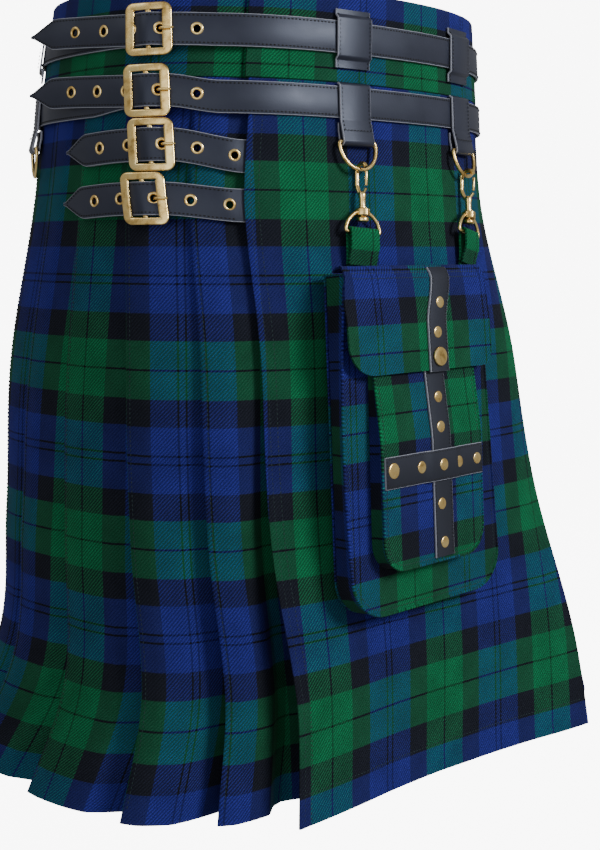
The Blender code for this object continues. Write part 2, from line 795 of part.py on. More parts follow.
# ---- snap hooks -------------------------------------------------------------------------
HOOK_WIRE = 0.0018
HOOK_HALF = 0.0041
GATE_DROP = 0.0150
COLLAR_TOP = -0.1290
COLLAR_BOTTOM = -0.1350
STEM_RADIUS = 0.00200
COLLAR_BORE = 0.00206
HEAD_BOTTOM = -0.1392


def hook_set(side, arc, foot_arc):
    cloth = LOOPS[0][1]
    low_wire = at(arc, BAR_HEIGHT - RING_DROP, cloth + 0.0085)
    hang = at(foot_arc, -0.1500, cloth + 0.0068)
    up = low_wire - hang
    up /= np.linalg.norm(up)
    tangent = axes_at(arc, BAR_HEIGHT - RING_DROP)[0]
    tangent = tangent - up * float(tangent @ up)
    tangent /= np.linalg.norm(tangent)
    out = np.cross(tangent, up)

    def spot(v, height):
        return low_wire + out * v + up * ((height - low_wire[2]) / up[2])

    ring_low = low_wire[2]
    crown = ring_low + RING_WIRE + 0.0004 - HOOK_HALF + HOOK_WIRE
    pivot_z = crown - GATE_DROP + 0.0030
    neck_top = pivot_z - 0.0035
    path = []
    for w in (24.0, 50.0, 78.0, 104.0, 132.0, 160.0, 180.0):
        r = math.radians(w)
        path.append(spot((HOOK_HALF + HOOK_WIRE) * math.cos(r),
                         crown + (HOOK_HALF + HOOK_WIRE) * math.sin(r)))
    path.append(spot(-HOOK_HALF - HOOK_WIRE, crown - 0.0060))
    path.append(spot(-HOOK_HALF - HOOK_WIRE, pivot_z + 0.0020))
    path.append(spot(-0.0038, neck_top + 0.0004))
    path.append(spot(-0.0010, neck_top - 0.0022))
    hook = wire(f"hook_{side}", "antique_brass", path, HOOK_WIRE, 8, False, tangent)
    foot = spot(0.0, HEAD_BOTTOM)
    collar_at = float((spot(0.0, COLLAR_TOP) - foot) @ up)
    neck_at = float((spot(0.0, neck_top) - foot) @ up)
    stem = turned("stem", "antique_brass", foot, up,
                  ((0.0, 0.0046), (0.0036, 0.0046), (0.0038, STEM_RADIUS),
                   (collar_at + 0.0003, STEM_RADIUS), (collar_at + 0.0005, 0.0030),
                   (neck_at - 0.0030, 0.0030), (neck_at, 0.0022)), 16)
    ear = wire("ear", "antique_brass", [spot(0.0, neck_top - 0.0024), spot(0.0048, pivot_z - 0.0012)],
               0.0011, 6, False, tangent)
    hook = combine(hook, [stem, ear], "UNION")
    pivot = spot(0.0050, pivot_z)
    tip = spot(HOOK_HALF + HOOK_WIRE - 0.0002, crown + 0.0022 - HOOK_WIRE - 0.0010)
    wire(f"gate_{side}", "antique_brass", [pivot + up * 0.0004, tip], 0.0011, 8, False, tangent,
                None, pivot)
    ring_mid = 0.5 * (COLLAR_TOP + COLLAR_BOTTOM)
    arch = [(-0.0150, -0.0150), (-0.0163, -0.0140), (-0.0163, -0.0118), (-0.0140, -0.0068), (-0.0095, -0.0024),
            (-0.0046, 0.0), (0.0046, 0.0), (0.0095, -0.0024), (0.0140, -0.0068),
            (0.0163, -0.0118), (0.0163, -0.0140), (0.0150, -0.0150)]
    arch_path = [spot(0.0, ring_mid + d) + tangent * u for u, d in arch]
    body = wire(f"strap_ring_{side}", "antique_brass", arch_path, 0.00145, 8, True, out)
    low = spot(0.0, COLLAR_BOTTOM)
    tall = float((spot(0.0, COLLAR_TOP) - low) @ up)
    collar = turned("collar", "antique_brass", low, up,
                    ((0.0, 0.0050), (0.0008, 0.0058), (tall - 0.0008, 0.0058), (tall, 0.0050)), 16)
    combine(body, [collar], "UNION")
    bore = turned("bore", "antique_brass", low - up * 0.002, up,
                  ((0.0, COLLAR_BORE), (tall + 0.004, COLLAR_BORE)), 16)
    combine(body, [bore], "DIFFERENCE")
    return spot, tangent, out, ring_mid - 0.0150


# ---- pouch ------------------------------------------------------------------------------
EAST = np.array([math.cos(POUCH_YAW), math.sin(POUCH_YAW), 0.0])
AWAY_FLAT = np.array([math.sin(POUCH_YAW), -math.cos(POUCH_YAW), 0.0])
UP = np.array([0.0, 0.0, 1.0])
POUCH_UP = UP * math.cos(POUCH_TILT) - AWAY_FLAT * math.sin(POUCH_TILT)
POUCH_OUT = AWAY_FLAT * math.cos(POUCH_TILT) + UP * math.sin(POUCH_TILT)


def on_pouch(u, w, d):
    """Across, up from the top edge, and out from the front panel's inner face."""
    return np.array(POUCH_TOP) + EAST * (u + POUCH_LEAN * w) + POUCH_UP * w + POUCH_OUT * d


def half_width(w):
    return 0.5 * np.interp(-w, [0.0, POUCH_HEIGHT], POUCH_WIDTH)


def spread(u, w):
    """Across the pouch at this height, for a place across its top edge measured from the middle."""
    middle = np.interp(-w, [0.0, POUCH_HEIGHT], POUCH_CENTRE)
    return middle + u * half_width(w) / half_width(0.0)


def front_bow(u, w):
    """How far the front panel reaches past the back one on its left side."""
    side = smooth((POUCH_CENTRE[0] - u) / half_width(0.0))
    return -FRONT_BOW * side * math.sin(math.pi * min(1.0, max(0.0, -w / POUCH_HEIGHT)))


def spread_front(u, w):
    u = spread(u, w)
    return u + front_bow(u, w)


def apron_front(x, height):
    """Y of the front apron's outer face at this x and height."""
    arcs = np.linspace(-0.16, 0.16, 41)
    pts = np.array([at(a, height, apron_level(a, height)) for a in arcs])
    return float(np.interp(x, pts[:, 0], pts[:, 1]))


def back_depth(u, w):
    """How far the back panel's outer face lies behind the front plane."""
    p = on_pouch(u, w, 0.0)
    gap = (apron_front(p[0], p[2]) - p[1]) * math.cos(POUCH_TILT) - BACK_CLEARANCE
    return max(0.0065, min(0.0200, gap))


def corner_outline(left, right, top, bottom, radius, steps=3):
    """Down the left side, along the bottom and up the right side."""
    pts = [(left, top)]
    count = 5
    for k in range(1, count):
        pts.append((left, top + (bottom + radius - top) * k / count))
    for k in range(steps + 1):
        w = math.radians(90.0 * k / steps)
        pts.append((left + radius - radius * math.cos(w), bottom + radius - radius * math.sin(w)))
    for k in range(1, 4):
        pts.append((left + radius + (right - left - 2 * radius) * k / 4, bottom))
    for k in range(steps + 1):
        w = math.radians(90.0 * k / steps)
        pts.append((right - radius + radius * math.sin(w), bottom + radius - radius * math.cos(w)))
    for k in range(1, count):
        pts.append((right, bottom + radius + (top - bottom - radius) * k / count))
    pts.append((right, top))
    return pts


def panel_grid(left, right, top, bottom, radius, columns, rows, depth, flare=None):
    """A grid that fills the outline, its bottom corners rounded."""
    grid = []
    for i in range(rows):
        share = i / (rows - 1)
        row = []
        for j in range(columns):
            s = j / (columns - 1)
            u = left + (right - left) * s
            edge = min(u - left, right - u)
            lift = 0.0
            if edge < radius:
                lift = radius - math.sqrt(max(0.0, radius**2 - (radius - edge) ** 2))
            w = top + (bottom + lift - top) * share
            if flare:
                u = flare(u, w)
            row.append(on_pouch(u, w, depth(u, w)))
        grid.append(row)
    return grid


def front_plane(u, w):
    return 0.0


HALF_TOP = half_width(0.0)
BODY_RADIUS = 0.030


def pouch_panel(name, near, far, flare, rows=8, columns=11):
    inner = panel_grid(-HALF_TOP, HALF_TOP, -0.002, -POUCH_HEIGHT, BODY_RADIUS, columns, rows, near, flare)
    outer = panel_grid(-HALF_TOP, HALF_TOP, -0.002, -POUCH_HEIGHT, BODY_RADIUS, columns, rows, far, flare)
    sheet(name, "tartan", inner, outer)


pouch_panel("pouch_front", front_plane, lambda u, w: POUCH_CLOTH, spread_front)
pouch_panel("pouch_back", lambda u, w: -back_depth(u, w),
            lambda u, w: -back_depth(u, w) + POUCH_CLOTH, spread)


def gusset(name, outline, near, far, inset, thick, bow=None):
    """The narrow wall joining a back and a front along an outline."""
    pts = np.array(outline)
    inner_line, outer_line = offset_line(pts, thick)
    mid = pts.mean(axis=0)
    if np.linalg.norm(inner_line[3] - mid) > np.linalg.norm(outer_line[3] - mid):
        inner_line, outer_line = outer_line, inner_line
    shift = inset + thick / 2.0
    side_in, side_out = offset_line(pts, 2.0 * shift)
    if np.linalg.norm(side_in[3] - mid) > np.linalg.norm(side_out[3] - mid):
        side_in = side_out
    move = side_in - pts
    rows_in = []
    rows_out = []
    for k in range(len(pts)):
        a = inner_line[k] + move[k]
        b = outer_line[k] + move[k]
        past = bow(*pts[k]) if bow else 0.0
        rows_in.append([on_pouch(a[0], a[1], near(*a)), on_pouch(a[0] + past, a[1], far(*a))])
        rows_out.append([on_pouch(b[0], b[1], near(*b)), on_pouch(b[0] + past, b[1], far(*b))])
    sheet(name, "tartan", rows_in, rows_out)


def flared(outline):
    return [(spread(u, w), w) for u, w in outline]


gusset("pouch_gusset", flared(corner_outline(-HALF_TOP, HALF_TOP, -0.004, -POUCH_HEIGHT, BODY_RADIUS)),
       lambda u, w: -back_depth(u, w) + POUCH_CLOTH + 0.0012, lambda u, w: -SEAM_GAP, 0.0,
       POUCH_CLOTH, front_bow)


def pocket_depth(w):
    """How far the pocket's outer face stands out of the front panel."""
    return float(np.interp(-w, [0.065, 0.085, 0.130, 0.226], [0.0050, 0.0075, 0.0130, 0.0140]))


pocket_front_face = POUCH_CLOTH
inner = panel_grid(POCKET_LEFT, POCKET_RIGHT, POCKET_TOP, POCKET_BOTTOM, 0.022, 9, 7,
                   lambda u, w: pocket_front_face + pocket_depth(w) - POUCH_CLOTH)
outer = panel_grid(POCKET_LEFT, POCKET_RIGHT, POCKET_TOP, POCKET_BOTTOM, 0.022, 9, 7,
                   lambda u, w: pocket_front_face + pocket_depth(w))
sheet("pocket_front", "tartan", inner, outer)
gusset("pocket_gusset", corner_outline(POCKET_LEFT, POCKET_RIGHT, POCKET_TOP, POCKET_BOTTOM, 0.022),
       lambda u, w: pocket_front_face + SEAM_GAP,
       lambda u, w: pocket_front_face + pocket_depth(w) - POUCH_CLOTH - 2.0 * SEAM_GAP, 0.0, POUCH_CLOTH)

FLAP_DROP = -0.0795
FLAP_OUT = 0.0120
FLAP_REACH = (0.0078, 0.0018)


def flap_profile(share):
    """Height and outer depth of the flap from its sewn top edge to its lower edge."""
    shares = (0.0, 0.06, 0.13, 0.22, 0.40, 0.60, 1.0)
    heights = (-0.0010, 0.0022, 0.0030, -0.0050, -0.0250, -0.0450, FLAP_DROP)
    depths = (-0.0105, -0.0080, 0.0000, 0.0060, 0.0085, 0.0105, FLAP_OUT)
    return float(np.interp(share, shares, heights)), float(np.interp(share, shares, depths))


def flap_grid(drop):
    shares = (0.0, 0.06, 0.13, 0.22, 0.40, 0.60, 0.80, 1.0)
    line = [flap_profile(s) for s in shares]
    _, outer_side = offset_line(line, 0.0)
    side_b, side_a = offset_line(line, 2.0 * drop) if drop else (outer_side, outer_side)
    grid = []
    for k, s in enumerate(shares):
        row = []
        for j in range(13):
            v = -1.0 + 2.0 * j / 12.0
            reach = FLAP_REACH[0 if v < 0 else 1] * smooth(s / 0.45)
            u = POUCH_CENTRE[0] + v * (HALF_TOP + 0.0008 + reach)
            edge = (1.0 - abs(v)) * HALF_TOP
            radius = 0.026 if v < 0 else 0.012
            lift = 0.0
            if edge < radius:
                lift = radius - math.sqrt(max(0.0, radius**2 - (radius - edge) ** 2))
            w, d = side_a[k] if drop else line[k]
            w = w + lift * smooth((s - 0.3) / 0.7)
            row.append(on_pouch(u, w, d))
        grid.append(row)
    return grid


sheet("pouch_flap", "tartan", flap_grid(POUCH_CLOTH), flap_grid(0.0))


def flap_strip_centre(w):
    return FLAP_STRIP_CENTRE + STRIP_TURN * smooth((w + 0.0450) / 0.0400)


def pocket_strip_centre(w):
    return POCKET_STRIP_CENTRE


def laid(name, rows, centre, lift, thick):
    """A leather strip down the pouch: rows of (height, depth of the face beneath)."""
    side_a, side_b = offset_line([(w, d + lift + thick / 2.0) for w, d in rows], thick)
    sides = (-STRIP_HALF, STRIP_HALF)
    one = [[on_pouch(centre(w) + u, w, d) for u in sides] for w, d in side_a]
    two = [[on_pouch(centre(w) + u, w, d) for u in sides] for w, d in side_b]
    return sheet(name, "black_leather", one, two)


strip_rows = [flap_profile(s) for s in (0.16, 0.22, 0.31, 0.40, 0.60, 0.80)]
strip_rows.append((FLAP_DROP - 0.001, FLAP_OUT + 0.0002))
laid("flap_strip", strip_rows, flap_strip_centre, 0.0004, 0.0018)
snap_base = on_pouch(0.0045, -0.0690, FLAP_OUT + 0.0022)
turned("flap_snap", "antique_brass", snap_base, POUCH_OUT,
       ((0.0, SNAP_RADIUS), (0.0016, SNAP_RADIUS), (0.0026, 0.0060), (0.0026, 0.0040)), 16)

pocket_face = [(w, pocket_front_face + pocket_depth(w)) for w in (-0.0900, -0.1300, -0.2230)]
laid("pocket_strip", pocket_face, pocket_strip_centre, 0.0004, 0.0016)


def band_level(u):
    return 0.0004 + 0.0020 * smooth((0.0225 - abs(u - POCKET_STRIP_CENTRE)) / 0.0080)


band_columns = [POCKET_STRIP_CENTRE + d for d in (-0.0420, -0.0225, -0.0140, 0.0140, 0.0225, 0.0360)]
band_columns = [POCKET_LEFT + 0.001] + band_columns + [POCKET_RIGHT - 0.001]
one = []
two = []
for w, rise in ((-0.1640, 0.0), (-0.1400, 0.0)):
    face = pocket_front_face + pocket_depth(w)
    one.append([on_pouch(u, w, face + band_level(u)) for u in band_columns])
    two.append([on_pouch(u, w, face + band_level(u) + 0.0016) for u in band_columns])
sheet("pocket_band", "black_leather", one, two)

# ---- hooks and the pouch's straps -------------------------------------------------------
for side, (arc, foot_arc) in zip(("right", "left"), HOOK_ARCS):
    spot, tangent, out, bar_z = hook_set(side, arc, foot_arc)
    turn = 0.00145 + 0.0006 + 0.0008
    foot_z = POUCH_TOP[2] + 0.0050
    profile = [(turn, foot_z)]
    for w in (0.0, 36.0, 72.0, 108.0, 144.0, 180.0):
        r = math.radians(w)
        profile.append((turn * math.cos(r), bar_z + turn * math.sin(r)))
    profile.append((-turn, foot_z + 0.0040))
    side_a, side_b = offset_line(profile, 0.0016)
    reach = 0.0136 if side == "right" else 0.0110
    one = [[spot(v, z) + tangent * s for s in (-reach, reach)] for v, z in side_a]
    two = [[spot(v, z) + tangent * s for s in (-reach, reach)] for v, z in side_b]
    middle = float((spot(0.0, foot_z) - np.array(POUCH_TOP)) @ EAST)
    behind = 0.0006 if side == "right" else 0.0004
    for w in (-0.0015, -STRAP_TAIL):
        us = (middle - reach, middle + reach)
        one.append([on_pouch(u, w, -back_depth(u, w) - behind - 0.0016) for u in us])
        two.append([on_pouch(u, w, -back_depth(u, w) - behind) for u in us])
    sheet(f"pouch_strap_{side}", "tartan", one, two)
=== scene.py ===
"""Pleated tartan kilt with two belts, buckled hip straps and a pouch hung from snap hooks.

Row frame: origin at the centre of the waist, +Z up, front towards -Y, metres.
Cloth and leather lie on one surface: arc is the distance round it from the front centre line,
height is Z, and level is the distance out from it.
"""
import math

import bmesh
import bpy
import numpy as np
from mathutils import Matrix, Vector


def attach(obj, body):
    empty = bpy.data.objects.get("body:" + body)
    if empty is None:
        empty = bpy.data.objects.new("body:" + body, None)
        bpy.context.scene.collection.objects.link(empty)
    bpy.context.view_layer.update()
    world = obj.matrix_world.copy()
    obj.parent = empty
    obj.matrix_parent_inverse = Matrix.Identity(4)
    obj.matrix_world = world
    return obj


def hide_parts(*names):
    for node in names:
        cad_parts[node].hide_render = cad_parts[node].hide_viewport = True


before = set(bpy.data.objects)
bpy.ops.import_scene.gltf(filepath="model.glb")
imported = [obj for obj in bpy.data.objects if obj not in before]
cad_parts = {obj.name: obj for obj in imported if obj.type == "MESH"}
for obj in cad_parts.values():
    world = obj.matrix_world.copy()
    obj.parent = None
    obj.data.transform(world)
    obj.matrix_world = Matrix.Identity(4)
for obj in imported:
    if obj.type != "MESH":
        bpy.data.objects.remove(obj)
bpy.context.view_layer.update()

# ---- sizes shared with the solids ----
WAIST_TOP = 0.035
WAIST_BOTTOM = -0.034
HEM = -0.571
SEAM_GAP = 0.0003
CLOTH = 0.0011
APRON_CLOTH = 0.0015
BAND_CLOTH = 0.0030
BELT_LEATHER = 0.0022
STRAP_LEATHER = 0.0020
LOOP_LEATHER = 0.0016
BELT_WIDTH = 0.0240
HIP_STRAP_WIDTH = 0.0245
PLEAT_COUNT = 16
FOLD_PITCH = 0.0016
RELIEF_AT_HEM = 0.0240
RECESS_AT_HEM = 0.0260
OPENING_STARTS = -0.165
FLARE_STARTS = -0.265
FLARE_LENGTH = 0.300
PRESSED_AT = -0.270
PRESSED_REACH = 0.080
PRESSED_DEPTH = 0.0065
HIP_STRAPS_AT = -0.110
UNDER_OVERLAP = 0.0090
BAND_LEVEL = 0.0014
APRON_LEVEL = 0.0012
RING_WIRE = 0.0016
BUCKLE_WIDTH = 0.0348
BUCKLE_HEIGHT = 0.0390
STRAP_GAP = 0.0008
BUCKLE_BAR = 0.0066
BAR_REACH = 0.0126
BUCKLE_THICK = 0.0026
BAR_HALF = 0.0008
HIP_LIFT = 0.0002
HOLE_RADIUS = 0.0034
HOLE_DEPTH = 0.008
SNAP_RADIUS = 0.0075

OUTLINE = (
    (0.0350, 0.1841, 0.1429, -0.0053, 0.0032),
    (-0.0370, 0.1912, 0.1472, -0.0087, 0.0038),
    (-0.1165, 0.1943, 0.1571, -0.0115, 0.0048),
    (-0.2450, 0.2190, 0.1810, -0.0065, 0.0030),
    (-0.3770, 0.2394, 0.1842, 0.0019, -0.0027),
    (-0.5060, 0.2725, 0.1962, 0.0150, -0.0092),
    (-0.5710, 0.2945, 0.2205, 0.0055, -0.0028),
)
SQUARENESS = (2.39, 3.00)
APRON_FREE_EDGE = (
    (0.0350, -0.1240),
    (-0.0510, -0.1240),
    (-0.1240, -0.1330),
    (-0.2000, -0.1385),
    (-0.2910, -0.1465),
    (-0.3830, -0.1530),
    (-0.4890, -0.1610),
    (-0.5710, -0.1705),
)
APRON_FOLD_EDGE = ((0.0350, 0.1400), (-0.0500, 0.1430), (-0.2450, 0.1530), (-0.5710, 0.1562))
PLEAT_SHARES = ((0.0466, 0.0375), (0.1066, 0.0920), (0.1650, 0.1650), (0.2140, 0.2350))
BUCKLES = (
    ("1", -0.1948, 0.0003, 0.0014, 0.0005),
    ("2", -0.1980, -0.0440, 0.0000, 0.0048),
    ("3", -0.1965, -0.0833, 0.0000, 0.0085),
    ("4", -0.2051, -0.1226, 0.0000, 0.0052),
)
POINT_LENGTH = 0.0230
STRAP_SEAM_START = 0.0035
STRAP_SEAM_INSET = 0.0021
STRAP_STEP = 0.0042
STRAP_EASE = 0.0022
TAB_LENGTH = 0.0620
# how far each belt's free end stands out from the layer beneath at its tip, and rises
FREE_END = (0.0185, 0.0160)
FREE_END_RISE = (0.0040, 0.0036)
HIP_END_DROP = 0.0026
TIP_ARCS = (-0.3055, -0.3125, -0.2835, -0.2910)
HOLE_ARCS = (
    (-0.1606, -0.1861, -0.2080, -0.2341, -0.2630),
    (-0.1620, -0.1891, -0.2151, -0.2424, -0.2700),
    (-0.1369, -0.1634, -0.1880, -0.2156, -0.2422),
    (-0.1439, -0.1714, -0.1970, -0.2257, -0.2516),
)
LOOPS = ((-0.0375, 0.0012), (0.0900, 0.0012), (-0.3520, 0.0), (0.3520, 0.0))
HOOK_ARCS = ((-0.0375, -0.0420), (0.0900, 0.0830))
POUCH_TOP = (-0.0065, -0.1800, -0.1746)
POUCH_YAW = math.radians(4.5)
POUCH_TILT = math.radians(5.5)
POUCH_HEIGHT = 0.260
POUCH_WIDTH = (0.1600, 0.1770)
POUCH_CENTRE = (-0.0080, 0.0040)
POUCH_LEAN = 0.060
FRONT_BOW = 0.0075
POUCH_CLOTH = 0.0015
BACK_CLEARANCE = 0.0028
LEAST_DEPTH = 0.0065
MOST_DEPTH = 0.0200
STRAP_TAIL = 0.020
STRAP_CLOTH = 0.0016
POCKET_LEFT = -0.0660
POCKET_RIGHT = 0.0535
FLAP_STRIP_CENTRE = 0.0050
POCKET_STRIP_CENTRE = 0.0020
STRIP_HALF = 0.0112
STRIP_TURN = 0.0100
STRIP_LIFT = 0.0004
BAND_ON_POCKET = -0.1520
POCKET_TOP = -0.0680
POCKET_BOTTOM = -0.2260

STITCH_LIFT = 0.00012
# pitch, length and radius of each kind of stitch
STRAP_STITCH = (0.0031, 0.0023, 0.00056)
LOOP_STITCH = (0.0031, 0.0022, 0.00036)
POUCH_STRAP_STITCH = (0.0028, 0.0019, 0.00032)
CLOTH_STITCH = (0.0034, 0.0022, 0.00034)
FLAP_STITCH = (0.0030, 0.0021, 0.00034)
SEAM_STITCH = (0.0030, 0.0021, 0.00032)

# ---- the tartan ----
SETT = 0.1315
GREEN_HALF = 0.02125
DARK_END = 0.0415
BLUE_CENTRE = 0.06575
PLEAT_SHIFT = 0.04383
FIRST_PLEAT_STRIPE = 0.0655
WEFT_CENTRE = -0.1165
# height and arc of the green stripe next to the front apron's free edge
APRON_STRIPE = ((0.035, -0.0800), (-0.1165, -0.0846), (-0.2448, -0.0993), (-0.3770, -0.1137),
                (-0.5060, -0.1330), (-0.5650, -0.1400))
STRIPE_STRETCH = 1.035


# ---- the surface ----
def smooth(t):
    """An eased step from 0 to 1."""
    t = min(1.0, max(0.0, t))
    return t * t * (3.0 - 2.0 * t)


def along(table, key):
    """The table's value at this height, by straight lines between its rows."""
    keys, values = np.array(table)[::-1].T
    return float(np.interp(key, keys, values))


def along_curve(table, key, column):
    """The table's value at this height, by a smooth curve through its rows."""
    keys, values = np.array(table)[::-1, [0, column]].T
    slopes = np.gradient(values, keys)
    key = min(max(key, keys[0]), keys[-1])
    k = min(int(np.searchsorted(keys, key, side="right")) - 1, len(keys) - 2)
    gap = keys[k + 1] - keys[k]
    t = (key - keys[k]) / gap
    ease = t * t * (3.0 - 2.0 * t)
    rise = slopes[k] * t * (1.0 - t) ** 2 - slopes[k + 1] * t * t * (1.0 - t)
    return float(values[k] * (1.0 - ease) + values[k + 1] * ease + gap * rise)


RINGS = {}


def ring(height):
    """Arc, place and outward direction round the section at this height."""
    key = round(height, 4)
    if key not in RINGS:
        half_w, half_d, cx, cy = (along_curve(OUTLINE, key, column) for column in (1, 2, 3, 4))
        power = np.interp(key, [HEM, WAIST_TOP], [SQUARENESS[1], SQUARENESS[0]])
        angle = -math.pi / 2 + np.linspace(0.0, 2.0 * math.pi, 721)
        c = np.cos(angle)
        s = np.sin(angle)
        r = (np.abs(c / half_w) ** power + np.abs(s / half_d) ** power) ** (-1.0 / power)
        x = cx + r * c
        y = cy + r * s
        nx = np.sign(c) * np.abs(r * c / half_w) ** (power - 1.0) / half_w
        ny = np.sign(s) * np.abs(r * s / half_d) ** (power - 1.0) / half_d
        size = np.hypot(nx, ny)
        lengths = np.hypot(np.diff(x), np.diff(y))
        arc = np.concatenate([[0.0], np.cumsum(lengths)])
        RINGS[key] = (arc, x, y, nx / size, ny / size)
    return RINGS[key]


def girth(height):
    return float(ring(height)[0][-1])


def spots(arcs, height, levels):
    """The points at these arcs and levels, all at one height."""
    table, x, y, nx, ny = ring(height)
    a = np.mod(np.asarray(arcs, dtype=float), table[-1])
    px = np.interp(a, table, nx)
    py = np.interp(a, table, ny)
    size = np.hypot(px, py)
    levels = np.asarray(levels, dtype=float)
    out_x = np.interp(a, table, x) + px / size * levels
    out_y = np.interp(a, table, y) + py / size * levels
    return np.stack([out_x, out_y, np.full(a.shape, height)], axis=-1)


def at(arc, height, level):
    return spots(np.array([arc]), height, np.array([level]))[0]


def axes_at(arc, height):
    """The directions along and out of the surface."""
    out = at(arc, height, 1.0) - at(arc, height, 0.0)
    return np.array([-out[1], out[0], 0.0]), out


def free_edge(height):
    return along(APRON_FREE_EDGE, height)


def fold_edge(height):
    return along(APRON_FOLD_EDGE, height)


def flared_out(height):
    """How far the cloth has begun to flare at this height, from 0 to 1."""
    return smooth((FLARE_STARTS - height) / FLARE_LENGTH)


def pressed_in(height):
    """How far the cloth is pressed in across the thighs at this height, from 0 to 1."""
    return math.exp(-(((height - PRESSED_AT) / PRESSED_REACH) ** 2))


def apron_level(arc, height):
    """How far out the front apron lies: flaring towards its edges, lifted near its free edge at the hip straps
    and pressed in across the thighs.
    """
    left = free_edge(height)
    right = fold_edge(height)
    side = (arc - 0.5 * (left + right)) / (0.5 * (right - left))
    strap_zone = smooth((0.054 - abs(height - HIP_STRAPS_AT)) / 0.020)
    near_edge = math.exp(-(((arc - left) / 0.055) ** 2))
    pressed = pressed_in(height) * smooth((1.15 - abs(side)) / 0.6)
    return (APRON_LEVEL + flared_out(height) * (-0.010 + 0.024 * side * side)
            + 0.0018 * strap_zone * near_edge - PRESSED_DEPTH * pressed)


def skirt_bow(arc, height):
    half = 0.5 * girth(height)
    a = arc if arc <= half else arc - 2.0 * half
    return -0.009 * flared_out(height) * smooth((0.60 - abs(a)) / 0.25)


def run_along(points):
    """The length along a line at each of its points."""
    return np.concatenate([[0.0], np.cumsum(np.linalg.norm(np.diff(points, axis=0), axis=1))])


def offset_line(points, thick):
    """The two sides of a wall of this thickness along a line in a plane."""
    p = np.array(points, dtype=float)
    d = np.diff(p, axis=0)
    d /= np.maximum(np.linalg.norm(d, axis=1)[:, None], 1e-12)
    n = np.stack([-d[:, 1], d[:, 0]], axis=1)
    mitre = []
    for k in range(len(p)):
        before = n[max(k - 1, 0)]
        after = n[min(k, len(n) - 1)]
        m = before + after
        size = np.linalg.norm(m)
        m = m / size if size > 1e-6 else after
        mitre.append(m / max(0.62, float(m @ after)))
    m = np.array(mitre)
    return p - m * thick / 2.0, p + m * thick / 2.0


# ---- materials ----
class Nodes:
    """Adds shader nodes one by one, with constant or linked inputs."""

    def __init__(self, name):
        self.look = bpy.data.materials.new(name)
        self.look.use_nodes = True
        self.tree = self.look.node_tree

    def add(self, kind, inputs=(), **settings):
        made = self.tree.nodes.new(kind)
        for key, value in settings.items():
            setattr(made, key, value)
        self.fill(made, inputs)
        return made

    def fill(self, node, inputs):
        for key, value in dict(inputs).items():
            if isinstance(value, bpy.types.NodeSocket):
                self.tree.links.new(value, node.inputs[key])
            else:
                node.inputs[key].default_value = value

    def maths(self, operation, a, b=0.0, c=0.0):
        return self.add("ShaderNodeMath", {0: a, 1: b, 2: c}, operation=operation).outputs[0]

    def mix(self, share, a, b, blend="MIX"):
        made = self.add("ShaderNodeMix", {0: share, 6: a, 7: b}, data_type="RGBA", blend_type=blend)
        return made.outputs[2]

    def ramp(self, share, stops, interpolation="CONSTANT"):
        made = self.add("ShaderNodeValToRGB", {0: share})
        ramp = made.color_ramp
        ramp.interpolation = interpolation
        while len(ramp.elements) < len(stops):
            ramp.elements.new(1.0)
        for element, (place, colour) in zip(ramp.elements, stops):
            element.position = place
            element.color = (*colour, 1.0)
        return made.outputs[0]

    def noise(self, vector, scale, detail=2.0, rough=0.5):
        inputs = {"Vector": vector, "Scale": scale, "Detail": detail, "Roughness": rough}
        return self.add("ShaderNodeTexNoise", inputs).outputs[0]

    def bump(self, height, strength, distance):
        inputs = {"Height": height, "Strength": strength, "Distance": distance}
        return self.add("ShaderNodeBump", inputs).outputs[0]

    def finish(self, inputs):
        """The look, with these inputs of its surface."""
        self.fill(self.tree.nodes["Principled BSDF"], inputs)
        return self.look


GREEN = (0.0024, 0.0980, 0.0360)
BLUE = (0.0125, 0.0150, 0.1400)
DARK = (0.0062, 0.0072, 0.0125)
LINE = (0.0012, 0.0014, 0.0030)


def sett_stops():
    half = 0.5 * SETT
    edges = (
        (0.0, BLUE),
        (0.00225, LINE),
        (0.00375, BLUE),
        (BLUE_CENTRE - DARK_END, DARK),
        (BLUE_CENTRE - GREEN_HALF, GREEN),
        (half - 0.0009, LINE),
        (half + 0.0009, GREEN),
        (half + GREEN_HALF, DARK),
        (half + DARK_END, BLUE),
        (SETT - 0.00375, LINE),
        (SETT - 0.00225, BLUE),
    )
    return [(place / SETT, colour) for place, colour in edges]


